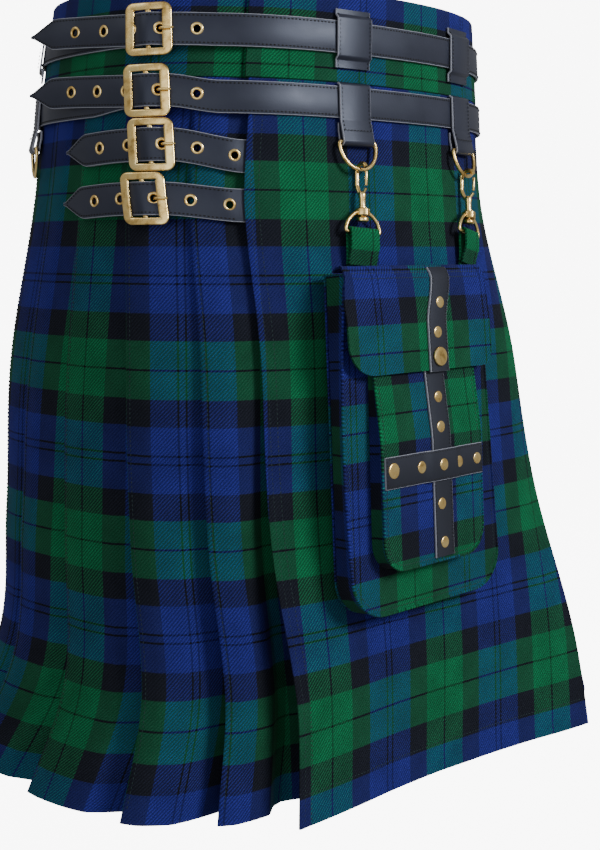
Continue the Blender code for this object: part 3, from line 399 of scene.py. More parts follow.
def tartan(name):
    """Woven tartan read from the cloth map: u across the warp and v along it, in metres."""
    n = Nodes(name)
    cloth = n.add("ShaderNodeUVMap", uv_map="cloth").outputs[0]
    u, v = n.add("ShaderNodeSeparateXYZ", {0: cloth}).outputs[:2]
    fray = n.maths("SUBTRACT", n.noise(cloth, 900.0, 1.0), 0.5)
    across = n.maths("MULTIPLY_ADD", fray, 0.0009, u)
    down = n.maths("MULTIPLY_ADD", fray, 0.0009, v)
    warp_at = n.maths("FRACT", n.maths("MULTIPLY_ADD", across, 1.0 / SETT, 0.5))
    weft_at = n.maths("FRACT", n.maths("MULTIPLY_ADD", down, 1.0 / SETT, 0.5))
    warp = n.ramp(warp_at, sett_stops())
    weft = n.ramp(weft_at, sett_stops())
    slant = n.maths("MULTIPLY", n.maths("SUBTRACT", v, u), 2.0 * math.pi / 0.0030)
    twill = n.maths("MULTIPLY_ADD", n.maths("SINE", slant), 0.5, 0.5)
    fibre = n.noise(cloth, 1500.0, 2.0, 0.6)
    patchy = n.noise(cloth, 38.0, 2.0, 0.5)
    share = n.maths("MULTIPLY_ADD", twill, 0.36, 0.24)
    share = n.maths("MULTIPLY_ADD", n.maths("SUBTRACT", fibre, 0.5), 0.55, share)
    woven = n.mix(share, weft, warp)
    bright = n.maths("MULTIPLY_ADD", twill, 0.75, 0.50)
    grain = n.maths("MAXIMUM", n.maths("MULTIPLY_ADD", n.maths("SUBTRACT", fibre, 0.5), 4.2, 1.05), 0.15)
    bright = n.maths("MULTIPLY", bright, grain)
    bright = n.maths("MULTIPLY", bright, n.maths("MULTIPLY_ADD", patchy, 0.70, 0.65))
    shade = n.add("ShaderNodeCombineXYZ", {0: bright, 1: bright, 2: bright}).outputs[0]
    colour = n.mix(1.0, woven, shade, "MULTIPLY")
    fluff = n.maths("POWER", n.noise(cloth, 2600.0, 0.0), 5.0)
    colour = n.mix(n.maths("MULTIPLY", fluff, 0.5), colour, (0.10, 0.12, 0.15, 1.0))
    height = n.maths("ADD", n.maths("MULTIPLY", twill, 0.6), fibre)
    return n.finish({"Base Color": colour, "Roughness": 0.88, "Specular IOR Level": 0.05, "Sheen Weight": 0.02,
                     "Sheen Roughness": 0.45, "Normal": n.bump(height, 0.45, 0.0004)})


def leather(name, colour, rough):
    n = Nodes(name)
    place = n.add("ShaderNodeTexCoord").outputs["Object"]
    grain = n.noise(place, 900.0, 3.0, 0.6)
    wear = n.noise(place, 45.0, 3.0, 0.55)
    pale = tuple(min(1.0, 2.0 * c + 0.004) for c in colour)
    base = n.mix(n.maths("MULTIPLY", wear, 0.75), (*colour, 1.0), (*pale, 1.0))
    roughness = n.maths("MULTIPLY_ADD", wear, 0.25, rough - 0.10)
    height = n.maths("MULTIPLY_ADD", wear, 1.5, grain)
    return n.finish({"Base Color": base, "Roughness": roughness, "Specular IOR Level": 0.42,
                     "Specular Tint": (0.72, 0.80, 1.0, 1.0), "Normal": n.bump(height, 0.22, 0.0003)})


def brass(name):
    n = Nodes(name)
    place = n.add("ShaderNodeTexCoord").outputs["Object"]
    fine = n.noise(place, 700.0, 3.0, 0.6)
    tarnish = n.noise(place, 120.0, 3.0, 0.6)
    base = n.ramp(tarnish, ((0.28, (0.42, 0.27, 0.080)), (0.46, (0.84, 0.59, 0.22)),
                            (0.72, (1.00, 0.80, 0.38))), "LINEAR")
    roughness = n.maths("MULTIPLY_ADD", tarnish, -0.24, 0.38)
    return n.finish({"Base Color": base, "Metallic": 1.0, "Roughness": roughness,
                     "Normal": n.bump(fine, 0.20, 0.0002)})


def plain(name, colour, rough, **inputs):
    return Nodes(name).finish({"Base Color": (*colour, 1.0), "Roughness": rough, **inputs})


WOOL = tartan("tartan_wool")
HIDE = leather("black_hide", (0.0110, 0.0125, 0.0210), 0.40)
SOFT_HIDE = leather("soft_black_hide", (0.0042, 0.0046, 0.0080), 0.62)
# cut leather edges: a lighter leather tone, raised into a pale painted highlight along every edge
EDGE_HIGHLIGHT = plain("cut_edge_painted_highlight", (0.230, 0.240, 0.290), 0.50)
BRASS = brass("antique_brass_look")
THREAD = plain("black_thread", (0.0012, 0.0012, 0.0020), 0.85)
CLOTH_THREAD = plain("dark_green_thread", (0.006, 0.020, 0.022), 0.85)


# ---- mesh helpers ----
def placed(name, data):
    """A new object with this data, in the scene."""
    made = bpy.data.objects.new(name, data)
    bpy.context.scene.collection.objects.link(made)
    return made


def mesh_of(name, verts, faces):
    """A mesh with its faces turned outwards."""
    mesh = bpy.data.meshes.new(name)
    mesh.from_pydata(np.asarray(verts, dtype=float).tolist(), [], [tuple(f) for f in faces])
    bm = bmesh.new()
    bm.from_mesh(mesh)
    bmesh.ops.recalc_face_normals(bm, faces=bm.faces)
    bm.to_mesh(mesh)
    bm.free()
    return mesh


def smoothed(mesh, angle):
    """Smooth shading, with the edges sharper than the angle kept."""
    mesh.shade_smooth()
    mesh.set_sharp_from_angle(angle=math.radians(angle))


def piece(name, verts, faces, looks, body="kilt", nodes=(), uv=None, marks=None, angle=45.0):
    """A named closed mesh that rides on a body and stands for solids."""
    mesh = mesh_of(name, verts, faces)
    for look in looks:
        mesh.materials.append(look)
    if marks is not None:
        mesh.polygons.foreach_set("material_index", np.asarray(marks, dtype=np.int32))
    if uv is not None:
        layer = mesh.uv_layers.new(name="cloth")
        index = np.zeros(len(mesh.loops), dtype=np.int32)
        mesh.loops.foreach_get("vertex_index", index)
        layer.data.foreach_set("uv", np.asarray(uv, dtype=np.float32)[index].ravel())
    smoothed(mesh, angle)
    made = placed(name, mesh)
    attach(made, body)
    if nodes:
        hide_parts(*nodes)
    return made


def brass_piece(name, parts, node=None, body="kilt", angle=45.0):
    """Brass bodies as one piece."""
    verts, faces = together(parts)
    return piece(name, verts, faces, [BRASS], body, (node,) if node else (), angle=angle)


LEATHER_ANGLE = 40.0


def leather_piece(name, sections, cut, node, look):
    """A strap swept through its sections, with a pale colour on its cut edges: their own lighter tone raised
    into a painted highlight.
    """
    verts, faces, places = swept(sections)
    marks = [1 if s < 0 or cut[s] else 0 for s in places]
    return piece(name, verts, faces, [look, EDGE_HIGHLIGHT], nodes=(node,), marks=marks,
                 angle=LEATHER_ANGLE)


def shell(inner, outer):
    """Vertices and faces of a closed wall between two grids."""
    inner = np.asarray(inner)
    outer = np.asarray(outer)
    rows, cols = inner.shape[:2]
    verts = np.concatenate([inner.reshape(-1, 3), outer.reshape(-1, 3)])
    half = rows * cols
    faces = []
    for i in range(rows - 1):
        for j in range(cols - 1):
            a = i * cols + j
            faces.append((a, a + 1, a + cols + 1, a + cols))
            faces.append((half + a, half + a + cols, half + a + cols + 1, half + a + 1))
    edge = [(0, j) for j in range(cols - 1)]
    edge += [(i, cols - 1) for i in range(rows - 1)]
    edge += [(rows - 1, j) for j in range(cols - 1, 0, -1)]
    edge += [(i, 0) for i in range(rows - 1, 0, -1)]
    loop = [i * cols + j for i, j in edge]
    for k, a in enumerate(loop):
        b = loop[(k + 1) % len(loop)]
        faces.append((b, a, half + a, half + b))
    return verts, faces


def cloth_wall(name, inner, outer, uv, node):
    """A closed cloth wall between two grids, with one cloth map on both sides."""
    verts, faces = shell(inner, outer)
    flat = np.asarray(uv, dtype=float).reshape(-1, 2)
    return piece(name, verts, faces, [WOOL], nodes=(node,), uv=np.concatenate([flat, flat]))


def wall_of_rows(name, heights, row, node):
    """A cloth wall from a function that gives each height's inner line, outer line and cloth map."""
    inner, outer, uv = zip(*[row(h) for h in heights])
    return cloth_wall(name, inner, outer, uv, node)


def swept(sections, closed=False):
    """Vertices, faces and each face's place round the section, ends capped when open."""
    sections = np.asarray(sections)
    count, sides = sections.shape[:2]
    faces = []
    for k in range(count if closed else count - 1):
        here = k * sides
        there = (k + 1) % count * sides
        for s in range(sides):
            t = (s + 1) % sides
            faces.append((here + s, here + t, there + t, there + s))
    places = [i % sides for i in range(len(faces))]
    if not closed:
        faces.append(tuple(range(sides))[::-1])
        faces.append(tuple((count - 1) * sides + s for s in range(sides)))
        places += [-1, -1]
    return sections.reshape(-1, 3), faces, places


def curve(points, steps, closed=False):
    """A smooth line through the points."""
    p = np.array(points, dtype=float)
    count = len(p)
    out = []
    for k in range(count if closed else count - 1):
        near = [i % count if closed else min(max(i, 0), count - 1) for i in range(k - 1, k + 3)]
        a, b, c, d = p[near]
        for i in range(steps):
            t = i / steps
            out.append(0.5 * (2 * b + (c - a) * t + (2 * a - 5 * b + 4 * c - d) * t**2
                              + (3 * b - a - 3 * c + d) * t**3))
    if not closed:
        out.append(p[-1])
    return np.array(out)


def tube(path, radius, sides, closed, normal, flat=None):
    """A round tube along a path; flat is its radius along the normal."""
    p = np.array(path, dtype=float)
    count = len(p)
    radii = np.broadcast_to(np.asarray(radius, dtype=float), (count,))
    w = 2.0 * math.pi * (np.arange(sides) + 0.5) / sides
    sections = []
    for k in range(count):
        t = p[(k + 1) % count] - p[k - 1] if closed else p[min(k + 1, count - 1)] - p[max(k - 1, 0)]
        t /= np.linalg.norm(t)
        a = np.array(normal, dtype=float)
        a = a - t * (a @ t)
        a /= np.linalg.norm(a)
        b = np.cross(t, a)
        near = radii[k] if flat is None else flat
        sections.append(p[k] + np.outer(np.cos(w) * near, a) + np.outer(np.sin(w) * radii[k], b))
    return swept(sections, closed)[:2]


def axes_round(axis):
    """The axis at unit length and two directions across it."""
    axis = np.array(axis, dtype=float)
    axis /= np.linalg.norm(axis)
    a = np.cross(axis, [0.0, 0.0, 1.0])
    if np.linalg.norm(a) < 0.1:
        a = np.cross(axis, [1.0, 0.0, 0.0])
    a /= np.linalg.norm(a)
    return axis, a, np.cross(axis, a)


def turned(base, axis, stations, sides=24):
    """A turned body from (distance, radius) stations along an axis, its ends closed."""
    axis, a, b = axes_round(axis)
    w = 2.0 * math.pi * np.arange(sides) / sides
    return swept([np.array(base) + axis * d + np.outer(np.cos(w) * r, a) + np.outer(np.sin(w) * r, b)
                  for d, r in stations])[:2]


def turned_ring(base, axis, stations, sides=28):
    """A turned ring: its (distance, radius) stations run round a closed section."""
    axis, a, b = axes_round(axis)
    sections = []
    for k in range(sides):
        w = 2.0 * math.pi * k / sides
        side = a * math.cos(w) + b * math.sin(w)
        sections.append([np.array(base) + axis * d + side * r for d, r in stations])
    return swept(sections, True)[:2]


def together(parts):
    """Several bodies as one list of vertices and faces."""
    verts = []
    faces = []
    start = 0
    for v, f in parts:
        v = np.asarray(v, dtype=float).reshape(-1, 3)
        verts.append(v)
        faces += [tuple(start + i for i in face) for face in f]
        start += len(v)
    return np.concatenate(verts), faces


def sewn(points, normals, pitch, length, radius):
    """Stitches laid along a line on a surface."""
    p = np.asarray(points, dtype=float)
    n = np.broadcast_to(np.asarray(normals, dtype=float), p.shape)
    run = run_along(p)
    starts = np.arange(0.5 * (pitch - length), run[-1] - length, pitch)

    def read(values, keys):
        return np.stack([np.interp(keys, run, values[:, k]) for k in range(3)], axis=1)

    a = read(p, starts)
    b = read(p, starts + length)
    up = read(n, starts + 0.5 * length)
    up /= np.linalg.norm(up, axis=1)[:, None]
    way = b - a
    way /= np.maximum(np.linalg.norm(way, axis=1)[:, None], 1e-9)
    verts = []
    faces = []
    for start, finish, rise, side in zip(a, b, up, np.cross(way, up)):
        first = len(verts)
        verts.append(start - rise * radius)
        for share in (0.22, 0.78):
            middle = start + (finish - start) * share + rise * STITCH_LIFT
            verts += [middle + way * radius * 0.9 for way in (side, rise, -side, -rise)]
        verts.append(finish - rise * radius)
        for s in range(4):
            i = first + 1 + s
            j = first + 1 + (s + 1) % 4
            faces.append((first, j, i))
            faces.append((i, j, j + 4, i + 4))
            faces.append((first + 9, i + 4, j + 4))
    return np.array(verts).reshape(-1, 3), faces


def sewn_round(places, stitch):
    """Stitches through (arc, height, level) places."""
    return sewn([at(*place) for place in places], [axes_at(a, h)[1] for a, h, v in places], *stitch)


def sewing(name, rows, look):
    verts, faces = together([r for r in rows if len(r[0])])
    return piece(name, verts, faces, [look], angle=80.0)


def bend(start, corner, finish, shares):
    """Points of a soft turn from start to finish, drawn towards the corner."""
    return [(1 - t) ** 2 * start + 2 * t * (1 - t) * corner + t**2 * finish for t in shares]


def split(start, finish, count):
    """Points that split an edge evenly."""
    return [start + (finish - start) * i / (count + 1) for i in range(1, count + 1)]


def turn_at(p, k, reaches):
    """Where the soft turn at one of the line's corners starts and ends."""
    before = p[k - 1] - p[k]
    after = p[k + 1] - p[k]
    la = np.linalg.norm(before)
    lc = np.linalg.norm(after)
    ra, rc = reaches(la, lc)
    return p[k] + before * ra / la, p[k] + after * rc / lc


def rounded_fold_line(line, radius, splits):
    """The line with its corners rounded and its edges split, the same count at every height."""
    p = np.array(line, dtype=float)
    out = [p[0]]
    for k in range(1, len(p) - 1):
        start, finish = turn_at(p, k, lambda a, c: (min(radius, 0.42 * a), min(radius, 0.42 * c)))
        out += split(out[-1], start, splits[k - 1]) + bend(start, p[k], finish, (0.0, 0.5, 1.0))
    return np.array(out + split(out[-1], p[-1], splits[-1]) + [p[-1]])


def cloth_map(across, height):
    """The cloth map of one row: its places across the warp, all at one place along it."""
    return np.stack([across, np.full(len(across), height - WEFT_CENTRE)], axis=1)


# ---- pleated skirt ----
# how far each pleat's face bows out at the hem, and how far its fold wanders, in order round
PLEAT_BOW = (0.0022, 0.0010, 0.0026, 0.0014, 0.0008, 0.0024, 0.0016, 0.0020, 0.0009, 0.0023,
             0.0013, 0.0019, 0.0011, 0.0016, 0.0006, 0.0020)
PLEAT_SWAY = (0.0010, -0.0012, 0.0007, 0.0014, -0.0009, 0.0011, -0.0013, 0.0008, 0.0012, -0.0010,
              0.0009, -0.0007, 0.0010, -0.0008, 0.0006, -0.0005)
SKIRT_ROWS = 58
FACE_SPLITS = 8
FOLD_RADIUS = 0.0022
END_WRAP = 0.0015


def pleat_edges(height):
    """The arc of each pleat's outer fold at this height, in order round."""
    low = (WAIST_BOTTOM - height) / (WAIST_BOTTOM - HEM)
    shares = [hip + (hem - hip) * low for hip, hem in PLEAT_SHARES]
    hidden = PLEAT_COUNT - len(shares)
    step = (1.0 - shares[-1]) / (hidden + 1)
    shares += [shares[-1] + step * (k + 1) for k in range(hidden)]
    full = girth(height)
    start = full + free_edge(height)
    span = start - fold_edge(height)
    return [start - s * span for s in reversed(shares)]


def opening(height):
    """How far the pleats have opened at this height, from 0 to 1 at the hem."""
    return max(0.0, (OPENING_STARTS - height) / (OPENING_STARTS - HEM))


def relief(height):
    return RELIEF_AT_HEM * opening(height) ** 1.1


def pleat_line(height):
    """The folded line of the whole skirt at this height, as (arc, middle level) corners."""
    u = FOLD_PITCH
    deep = relief(height)
    opened = opening(height)
    recess = RECESS_AT_HEM * opened**1.2
    overlap = 0.015 - 0.005 * opened
    start = fold_edge(height)
    finish = girth(height) + free_edge(height)
    edges = pleat_edges(height)
    line = [(start - 0.020, -2.2 * u - 0.45 * deep), (start + 0.006, -2.0 * u - 0.20 * deep)]
    for k, e in enumerate(edges):
        e = e + PLEAT_SWAY[k] * opened * math.sin(9.0 * (height - 0.1) + 1.7 * k)
        axis = np.array([0.013 + 0.004 * opened, -0.020 * opened])
        axis /= np.linalg.norm(axis)
        side = np.array([-axis[1], axis[0]]) * u / 2.0
        tip = np.array([e + overlap, -1.5 * u - deep])
        line += [
            (e - 0.0105 - recess, -1.9 * u - 0.10 * deep),
            (e - 0.0030 - 0.30 * recess, -2.0 * u - 0.62 * deep),
            tuple(tip - side),
            tuple(tip + side),
            (e, -u),
            (e, 0.0),
            (e + overlap + 0.0035, 0.0),
        ]
    line += [
        (finish - 0.0100, -2.0 * u - 0.20 * deep),
        (finish - 0.0010, -2.5 * u - 0.70 * deep),
        (finish + 0.0090, -2.7 * u - 0.90 * deep),
    ]
    return [(a, v - CLOTH / 2.0 + skirt_bow(a, height)) for a, v in line]


# name and first pleat of each length of cloth; they are joined inside the pleats
SKIRT_LENGTHS = (("skirt_left", 0), ("skirt_back_left", 4), ("skirt_back_right", 8), ("skirt_right", 12))
LEAD_POINTS = 2
POINTS_A_PLEAT = 7
INNER_POINT = 2
FOLD_POINT = 5


def pleat_corner(pleat, point):
    """The index in the pleat line of one of a pleat's corners."""
    return LEAD_POINTS + POINTS_A_PLEAT * pleat + point


def skirt_row(height, n):
    """Fold line, its warp places and the places along it of its outer folds, at one height."""
    first = SKIRT_LENGTHS[n][1]
    last = SKIRT_LENGTHS[n + 1][1] if n + 1 < len(SKIRT_LENGTHS) else PLEAT_COUNT
    begin = pleat_corner(first, INNER_POINT) + 1 if n else 0
    end = pleat_corner(last, INNER_POINT) + 1
    whole = np.array(pleat_line(height))
    corners = whole[begin:end]
    if last < PLEAT_COUNT:
        # the end turns round the next length's edge inside the pleat
        side = whole[end] - whole[end - 1]
        beyond = np.array([side[1], -side[0]]) / np.linalg.norm(side) * END_WRAP
        corners = np.vstack([corners[:-1], corners[-1] + beyond, whole[end] + beyond])
    splits = [FACE_SPLITS if (begin + i) % POINTS_A_PLEAT == 1 else 1 for i in range(len(corners) - 1)]
    fine = rounded_fold_line(corners, FOLD_RADIUS, splits)
    opened = opening(height)
    run = run_along(fine)
    warp = np.zeros(len(fine))

    def nearest(pleat, point):
        corner = corners[min(pleat_corner(pleat, point) - begin, len(corners) - 1)]
        return int(np.argmin(np.linalg.norm(fine - corner, axis=1)))

    folds = [nearest(k, FOLD_POINT) for k in range(first, last)]
    low = 0
    for k, fold in zip(range(first, last), folds):
        high = nearest(k + 1, INNER_POINT) + 2 if k + 1 < last else len(fine)
        stripe = FIRST_PLEAT_STRIPE - PLEAT_SHIFT * (PLEAT_COUNT - 1 - k)
        warp[low:high] = stripe + run[low:high] - run[fold]
        face = np.arange(fold + 1, high)
        reach = max(run[high - 1] - run[fold], 1e-6)
        t = np.clip((run[face] - run[fold]) / (0.80 * reach), 0.0, 1.0)
        swell = 0.6 + 0.4 * math.sin(13.0 * height + 2.1 * k)
        fine[face, 1] += PLEAT_BOW[k] * opened * np.sin(math.pi * t) * swell
        low = high
    return fine, warp, [run[f] for f in folds], run


SEWN_TOP = WAIST_BOTTOM - SEAM_GAP
EDGE_STITCH = 0.0030
fold_stitches = {k: [] for k in range(PLEAT_COUNT)}
for n, (name, first) in enumerate(SKIRT_LENGTHS):
    def row(h):
        fine, warp, folds, run = skirt_row(h, n)
        for i, start in enumerate(folds):
            a, v = (np.interp(start + EDGE_STITCH, run, fine[:, k]) for k in (0, 1))
            fold_stitches[first + i].append((h, a, v + CLOTH / 2.0))
        return *(spots(side[:, 0], h, side[:, 1]) for side in offset_line(fine, CLOTH)), cloth_map(warp, h)

    made = wall_of_rows(f"{name}_cloth", np.linspace(SEWN_TOP, HEM, SKIRT_ROWS), row, name)
    height = WAIST_BOTTOM - HEM

# ---- aprons ----
# arc share across the apron, height, half width, half height and depth of each soft crease
APRON_CREASES = (
    (0.16, -0.200, 0.010, 0.160, 0.0011),
    (0.30, -0.420, 0.016, 0.150, -0.0013),
    (0.56, -0.520, 0.020, 0.090, 0.0014),
    (0.80, -0.470, 0.018, 0.130, -0.0012),
    (0.93, -0.300, 0.012, 0.180, 0.0010),
)


def creased(share, height):
    """How far the apron's soft creases lift it, fading out towards its two edges."""
    total = 0.0
    for centre, mid, half_s, half_h, deep in APRON_CREASES:
        a = (share - centre) / (half_s * 4.0)
        b = (height - mid) / half_h
        total += deep * math.exp(-a * a - b * b)
    return smooth((share - 0.05) / 0.06) * smooth((0.98 - share) / 0.05) * total


def rows_between(top, bottom, count):
    return [top + (bottom - top) * k / (count - 1) for k in range(count)]


def apron_row(h):
    left = free_edge(h)
    right = fold_edge(h)
    share = np.concatenate([[0.0, 0.003, 0.012, 0.018], np.linspace(0.028, 0.972, 56), [0.985, 1.0]])
    arcs = left + (right - left) * share
    levels = np.array([apron_level(a, h) for a in arcs])
    levels += np.array([creased(s, h) for s in share])
    levels += np.where(share < 0.014, 0.00035, 0.0) * (share > 0.001)
    stripe = (arcs - along(APRON_STRIPE, h)) * STRIPE_STRETCH
    return spots(arcs, h, levels - APRON_CLOTH), spots(arcs, h, levels), cloth_map(stripe, h)


apron = wall_of_rows("front_apron_cloth", rows_between(SEWN_TOP, HEM, 60), apron_row, "front_apron")


def under_level(arc, height):
    start = free_edge(height) + UNDER_OVERLAP
    deep = relief(height)
    first = -2.7 * FOLD_PITCH - 0.90 * deep - CLOTH / 2.0 + skirt_bow(arc, height)
    far = smooth((arc - start) / 0.080)
    low = flared_out(height)
    rest = -0.0065 - 0.010 * low - PRESSED_DEPTH * pressed_in(height) - 0.003 * low
    return first * (1.0 - far) + rest * far


def under_row(h):
    begin = free_edge(h) + UNDER_OVERLAP + SEAM_GAP
    arcs = np.linspace(begin, fold_edge(h) - 0.0450, 36)
    levels = np.array([under_level(a, h) for a in arcs])
    walls = [spots(arcs, h, levels + side * CLOTH / 2.0) for side in (-1.0, 1.0)]
    return *walls, cloth_map(arcs + 0.041, h)


under = wall_of_rows("under_apron_cloth", rows_between(SEWN_TOP, HEM, 44), under_row, "under_apron")


# ---- bands round the surface ----
def spaced(line, step):
    """The line with no two points further apart than the step."""
    out = [line[0]]
    for (a, c), (b, d) in zip(line, line[1:]):
        count = max(1, math.ceil(abs(b - a) / step))
        out += [(a + (b - a) * k / count, c + (d - c) * k / count) for k in range(1, count + 1)]
    return out


def soft_line(line, step, reach):
    """The line at even steps, its corners eased over the reach."""
    arcs, levels = np.array(line).T
    fine = np.linspace(arcs[0], arcs[-1], math.ceil((arcs[-1] - arcs[0]) / step) + 1)
    total = sum(np.interp(fine + reach * k / 3.0, arcs, levels) for k in range(-3, 4))
    return np.stack([fine, total / 7.0], axis=1)


def band_section(half_width, half_thick, bevel):
    """Points (across, out) round a strap's section, and which of its sides are cut edges."""
    w = half_width
    t = half_thick
    b = bevel
    corner = 0.3 * b
    pts = [(-w + b, t), (0.0, t), (w - b, t), (w - corner, t - corner), (w, t - b), (w, -t + b),
           (w - corner, -t + corner), (w - b, -t), (-w + b, -t), (-w + corner, -t + corner),
           (-w, -t + b), (-w, t - b), (-w + corner, t - corner)]
    cut = [False, False, True, True, True, True, True, False, True, True, True, True, True]
    return pts, cut


def across(line):
    """The direction across a line at each of its points."""
    inner, outer = offset_line(line, 2.0)
    return (outer - inner) / 2.0


def band_round(line, height_at, width, thick, point):
    """Sections of a rounded band laid round the surface, and which sides are cut edges."""
    sections = []
    for (arc, level), (side_arc, side_level), here in zip(line, across(line), run_along(line)):
        half = width / 2.0
        if here < point:
            half = max(0.0010, half * here / point)
        pts, cut = band_section(half, thick / 2.0, min(0.0005, 0.4 * half))
        mid = height_at(arc)
        sections.append([at(arc + side_arc * q, mid + p, level + side_level * q) for p, q in pts])
    return sections, cut


BAND_WEFT = -0.0240
BAND_WARP = -0.0920
BAND_STEP = 0.0080
waist_girth = girth(0.0)
band_mid = BAND_LEVEL - BAND_CLOTH / 2.0
band_under = band_mid - BAND_CLOTH - 0.0004
band_line = [
    (-0.1240, band_mid),
    (waist_girth - 0.2300, band_mid),
    (waist_girth - 0.1500, band_under - 0.0002),
    (waist_girth - 0.1240, band_under - 0.0006),
    (waist_girth + 0.0950, band_under - 0.0006),
]
band_rows = np.array(spaced(band_line, BAND_STEP))
half = BAND_CLOTH / 2.0
# height and share of the half thickness round the folded cloth's section
BAND_SECTION = (
    (WAIST_BOTTOM + 0.0008, 1.0), (-0.018, 1.0), (0.0, 1.0), (0.018, 1.0), (WAIST_TOP - 0.0014, 1.0),
    (WAIST_TOP - 0.0004, 0.65), (WAIST_TOP, 0.0), (WAIST_TOP - 0.0004, -0.65), (WAIST_TOP - 0.0014, -1.0),
    (0.0, -1.0), (WAIST_BOTTOM + 0.0008, -1.0), (WAIST_BOTTOM, -0.4), (WAIST_BOTTOM, 0.4),
)
sections = []
band_uv = []
for (arc, level), (along_arc, along_level) in zip(band_rows, across(band_rows)):
    section = []
    for z, q in BAND_SECTION:
        q *= half
        section.append(at((arc + along_arc * q) * (girth(z) / waist_girth), z, level + along_level * q))
    sections.append(section)
    band_uv += [(arc - BAND_WARP, z - BAND_WEFT) for z, q in BAND_SECTION]
verts, faces, places = swept(sections)
waistband = piece("waistband_cloth", verts, faces, [WOOL], nodes=("waistband",), uv=band_uv)


def strap_at(index):
    """A strap's thickness and middle level, and the levels of its buckle and of the strap through it."""
    t = BELT_LEATHER if index < 2 else STRAP_LEATHER
    base = BUCKLES[index][3] + STRAP_GAP + t / 2.0 + (0.0 if index < 2 else HIP_LIFT)
    frame_level = base + 1.5 * t + 0.0009 + BUCKLE_THICK / 2.0
    off_bar = BAR_HALF + 0.0003 + t / 2.0
    return t, base, frame_level, base + t + 0.0004, frame_level + off_bar, frame_level - off_bar


def belt_height(index):
    """Middle height of a belt: a little higher at its buckle, and rising in its free end."""
    label, bar, height, cloth, drop = BUCKLES[index]
    full = girth(height)

    def read(a):
        if a > full / 2.0:
            return height - drop * smooth((full - a - 0.205) / 0.040)
        if a < bar:
            return height + FREE_END_RISE[index] * smooth((bar - a) / 0.090)
        return height - drop * smooth((a + 0.185) / 0.040)

    return read


def hip_height(index):
    """Middle height of a hip strap: it drops from its buckle towards the apron and its tip."""
    label, bar, height, cloth, drop = BUCKLES[index]
    edge = free_edge(height)

    def read(a):
        if a < bar:
            return height - HIP_END_DROP * smooth((bar - a - 0.015) / 0.070)
        return height - drop * smooth((a - bar - 0.010) / (edge - bar - 0.010))

    return read


def cut_holes(strap, arcs, height_at, line):
    """Round holes through a strap, one for each eyelet."""
    parts = []
    for a in arcs:
        level = float(np.interp(a, line[:, 0], line[:, 1]))
        out = axes_at(a, height_at(a))[1]
        base = at(a, height_at(a), level - HOLE_DEPTH / 2.0)
        parts.append(turned(base, out, ((0.0, HOLE_RADIUS), (HOLE_DEPTH, HOLE_RADIUS)), 20))
    cutter = placed("holes", mesh_of("holes", *together(parts)))
    step = strap.modifiers.new("holes", "BOOLEAN")
    step.operation = "DIFFERENCE"
    step.solver = "EXACT"
    step.object = cutter
    bpy.context.view_layer.update()
    graph = bpy.context.evaluated_depsgraph_get()
    made = bpy.data.meshes.new_from_object(strap.evaluated_get(graph))
    strap.modifiers.clear()
    strap.data = made
    bpy.data.objects.remove(cutter, do_unlink=True)
    smoothed(made, LEATHER_ANGLE)


EYELET = ((-0.0012, 0.0026), (0.0001, 0.0026), (0.0006, 0.0029), (0.0009, 0.0035), (0.0007, 0.0042),
          (0.0002, 0.0047), (0.00005, 0.0046), (0.00005, 0.0033), (-0.0012, 0.0032))


def eyelets(name, arcs, height_at, line, thick):
    """Brass rings in a strap's holes, each leaning with the strap."""
    parts = []
    for a in arcs:
        low, level, high = np.interp((a - 0.0030, a, a + 0.0030), line[:, 0], line[:, 1])
        tangent, out = axes_at(a, height_at(a))
        lean = out - tangent * ((high - low) / 0.0060)
        parts.append(turned_ring(at(a, height_at(a), level + thick / 2.0), lean, EYELET))
    brass_piece(name, parts)


def strap_sewing(line, height_at, width, thick, cut_back):
    """Two rows of stitches near a strap's edges, joined round its point."""
    rows = []
    run = run_along(line)
    for sign in (-1.0, 1.0):
        pts = []
        outs = []
        for (arc, level), here in zip(line, run):
            if STRAP_SEAM_START <= here <= run[-1] - cut_back:
                half = min(width / 2.0 - STRAP_SEAM_INSET,
                           (here - STRAP_SEAM_START) / POINT_LENGTH * width / 2.0)
                mid = height_at(arc)
                pts.append(at(arc, mid + sign * half, level + thick / 2.0))
                outs.append(axes_at(arc, mid)[1])
        rows.append(sewn(pts, outs, *STRAP_STITCH))
    return rows


def through_buckle(bar, under_bars, over_bar):
    """The strap's way under both side bars of a buckle and over its middle one."""
    return [(bar - BAR_REACH - 0.0065, under_bars), (bar - BAR_REACH, under_bars), (bar - 0.0030, over_bar),
            (bar + 0.0020, over_bar), (bar + BAR_REACH, under_bars)]


def round_bar(bar, base, base_end):
    """The strap's sewn end, up from the layer beneath to the middle bar."""
    return [(bar - BAR_REACH, base), (bar - 0.0030, base_end), (bar + 0.0014, base_end)]


def belt_line(index, lift):
    label, bar, height, cloth, drop = BUCKLES[index]
    t, base, frame_level, under_bars, over_bar, base_end = strap_at(index)
    full = girth(height)
    tip = TIP_ARCS[index]
    return [
        (tip, base + t + FREE_END[index]),
        (tip + POINT_LENGTH, base + t + 0.56 * FREE_END[index]),
        (tip + 0.0440, base + t + 0.18 * FREE_END[index]),
        (tip + 0.0660, base + t + 0.0004),
        *through_buckle(bar, under_bars, over_bar),
        (bar + 0.0230, under_bars - 0.0008),
        (-0.1500, base + lift),
        (0.1500, base + lift),
        (0.1900, base),
        *round_bar(full + bar, base, base_end),
    ]


def strap(node, raw, height_at, width, thick, point=0.0, holes=()):
    """A leather strap with its holes and eyelets, and the line it lies on."""
    line = soft_line(raw, STRAP_STEP, STRAP_EASE)
    made = leather_piece(f"{node}_leather", *band_round(line, height_at, width, thick, point), node, HIDE)
    if holes:
        cut_holes(made, holes, height_at, line)
        eyelets(f"{node}_eyelets", holes, height_at, line, thick)
    return line


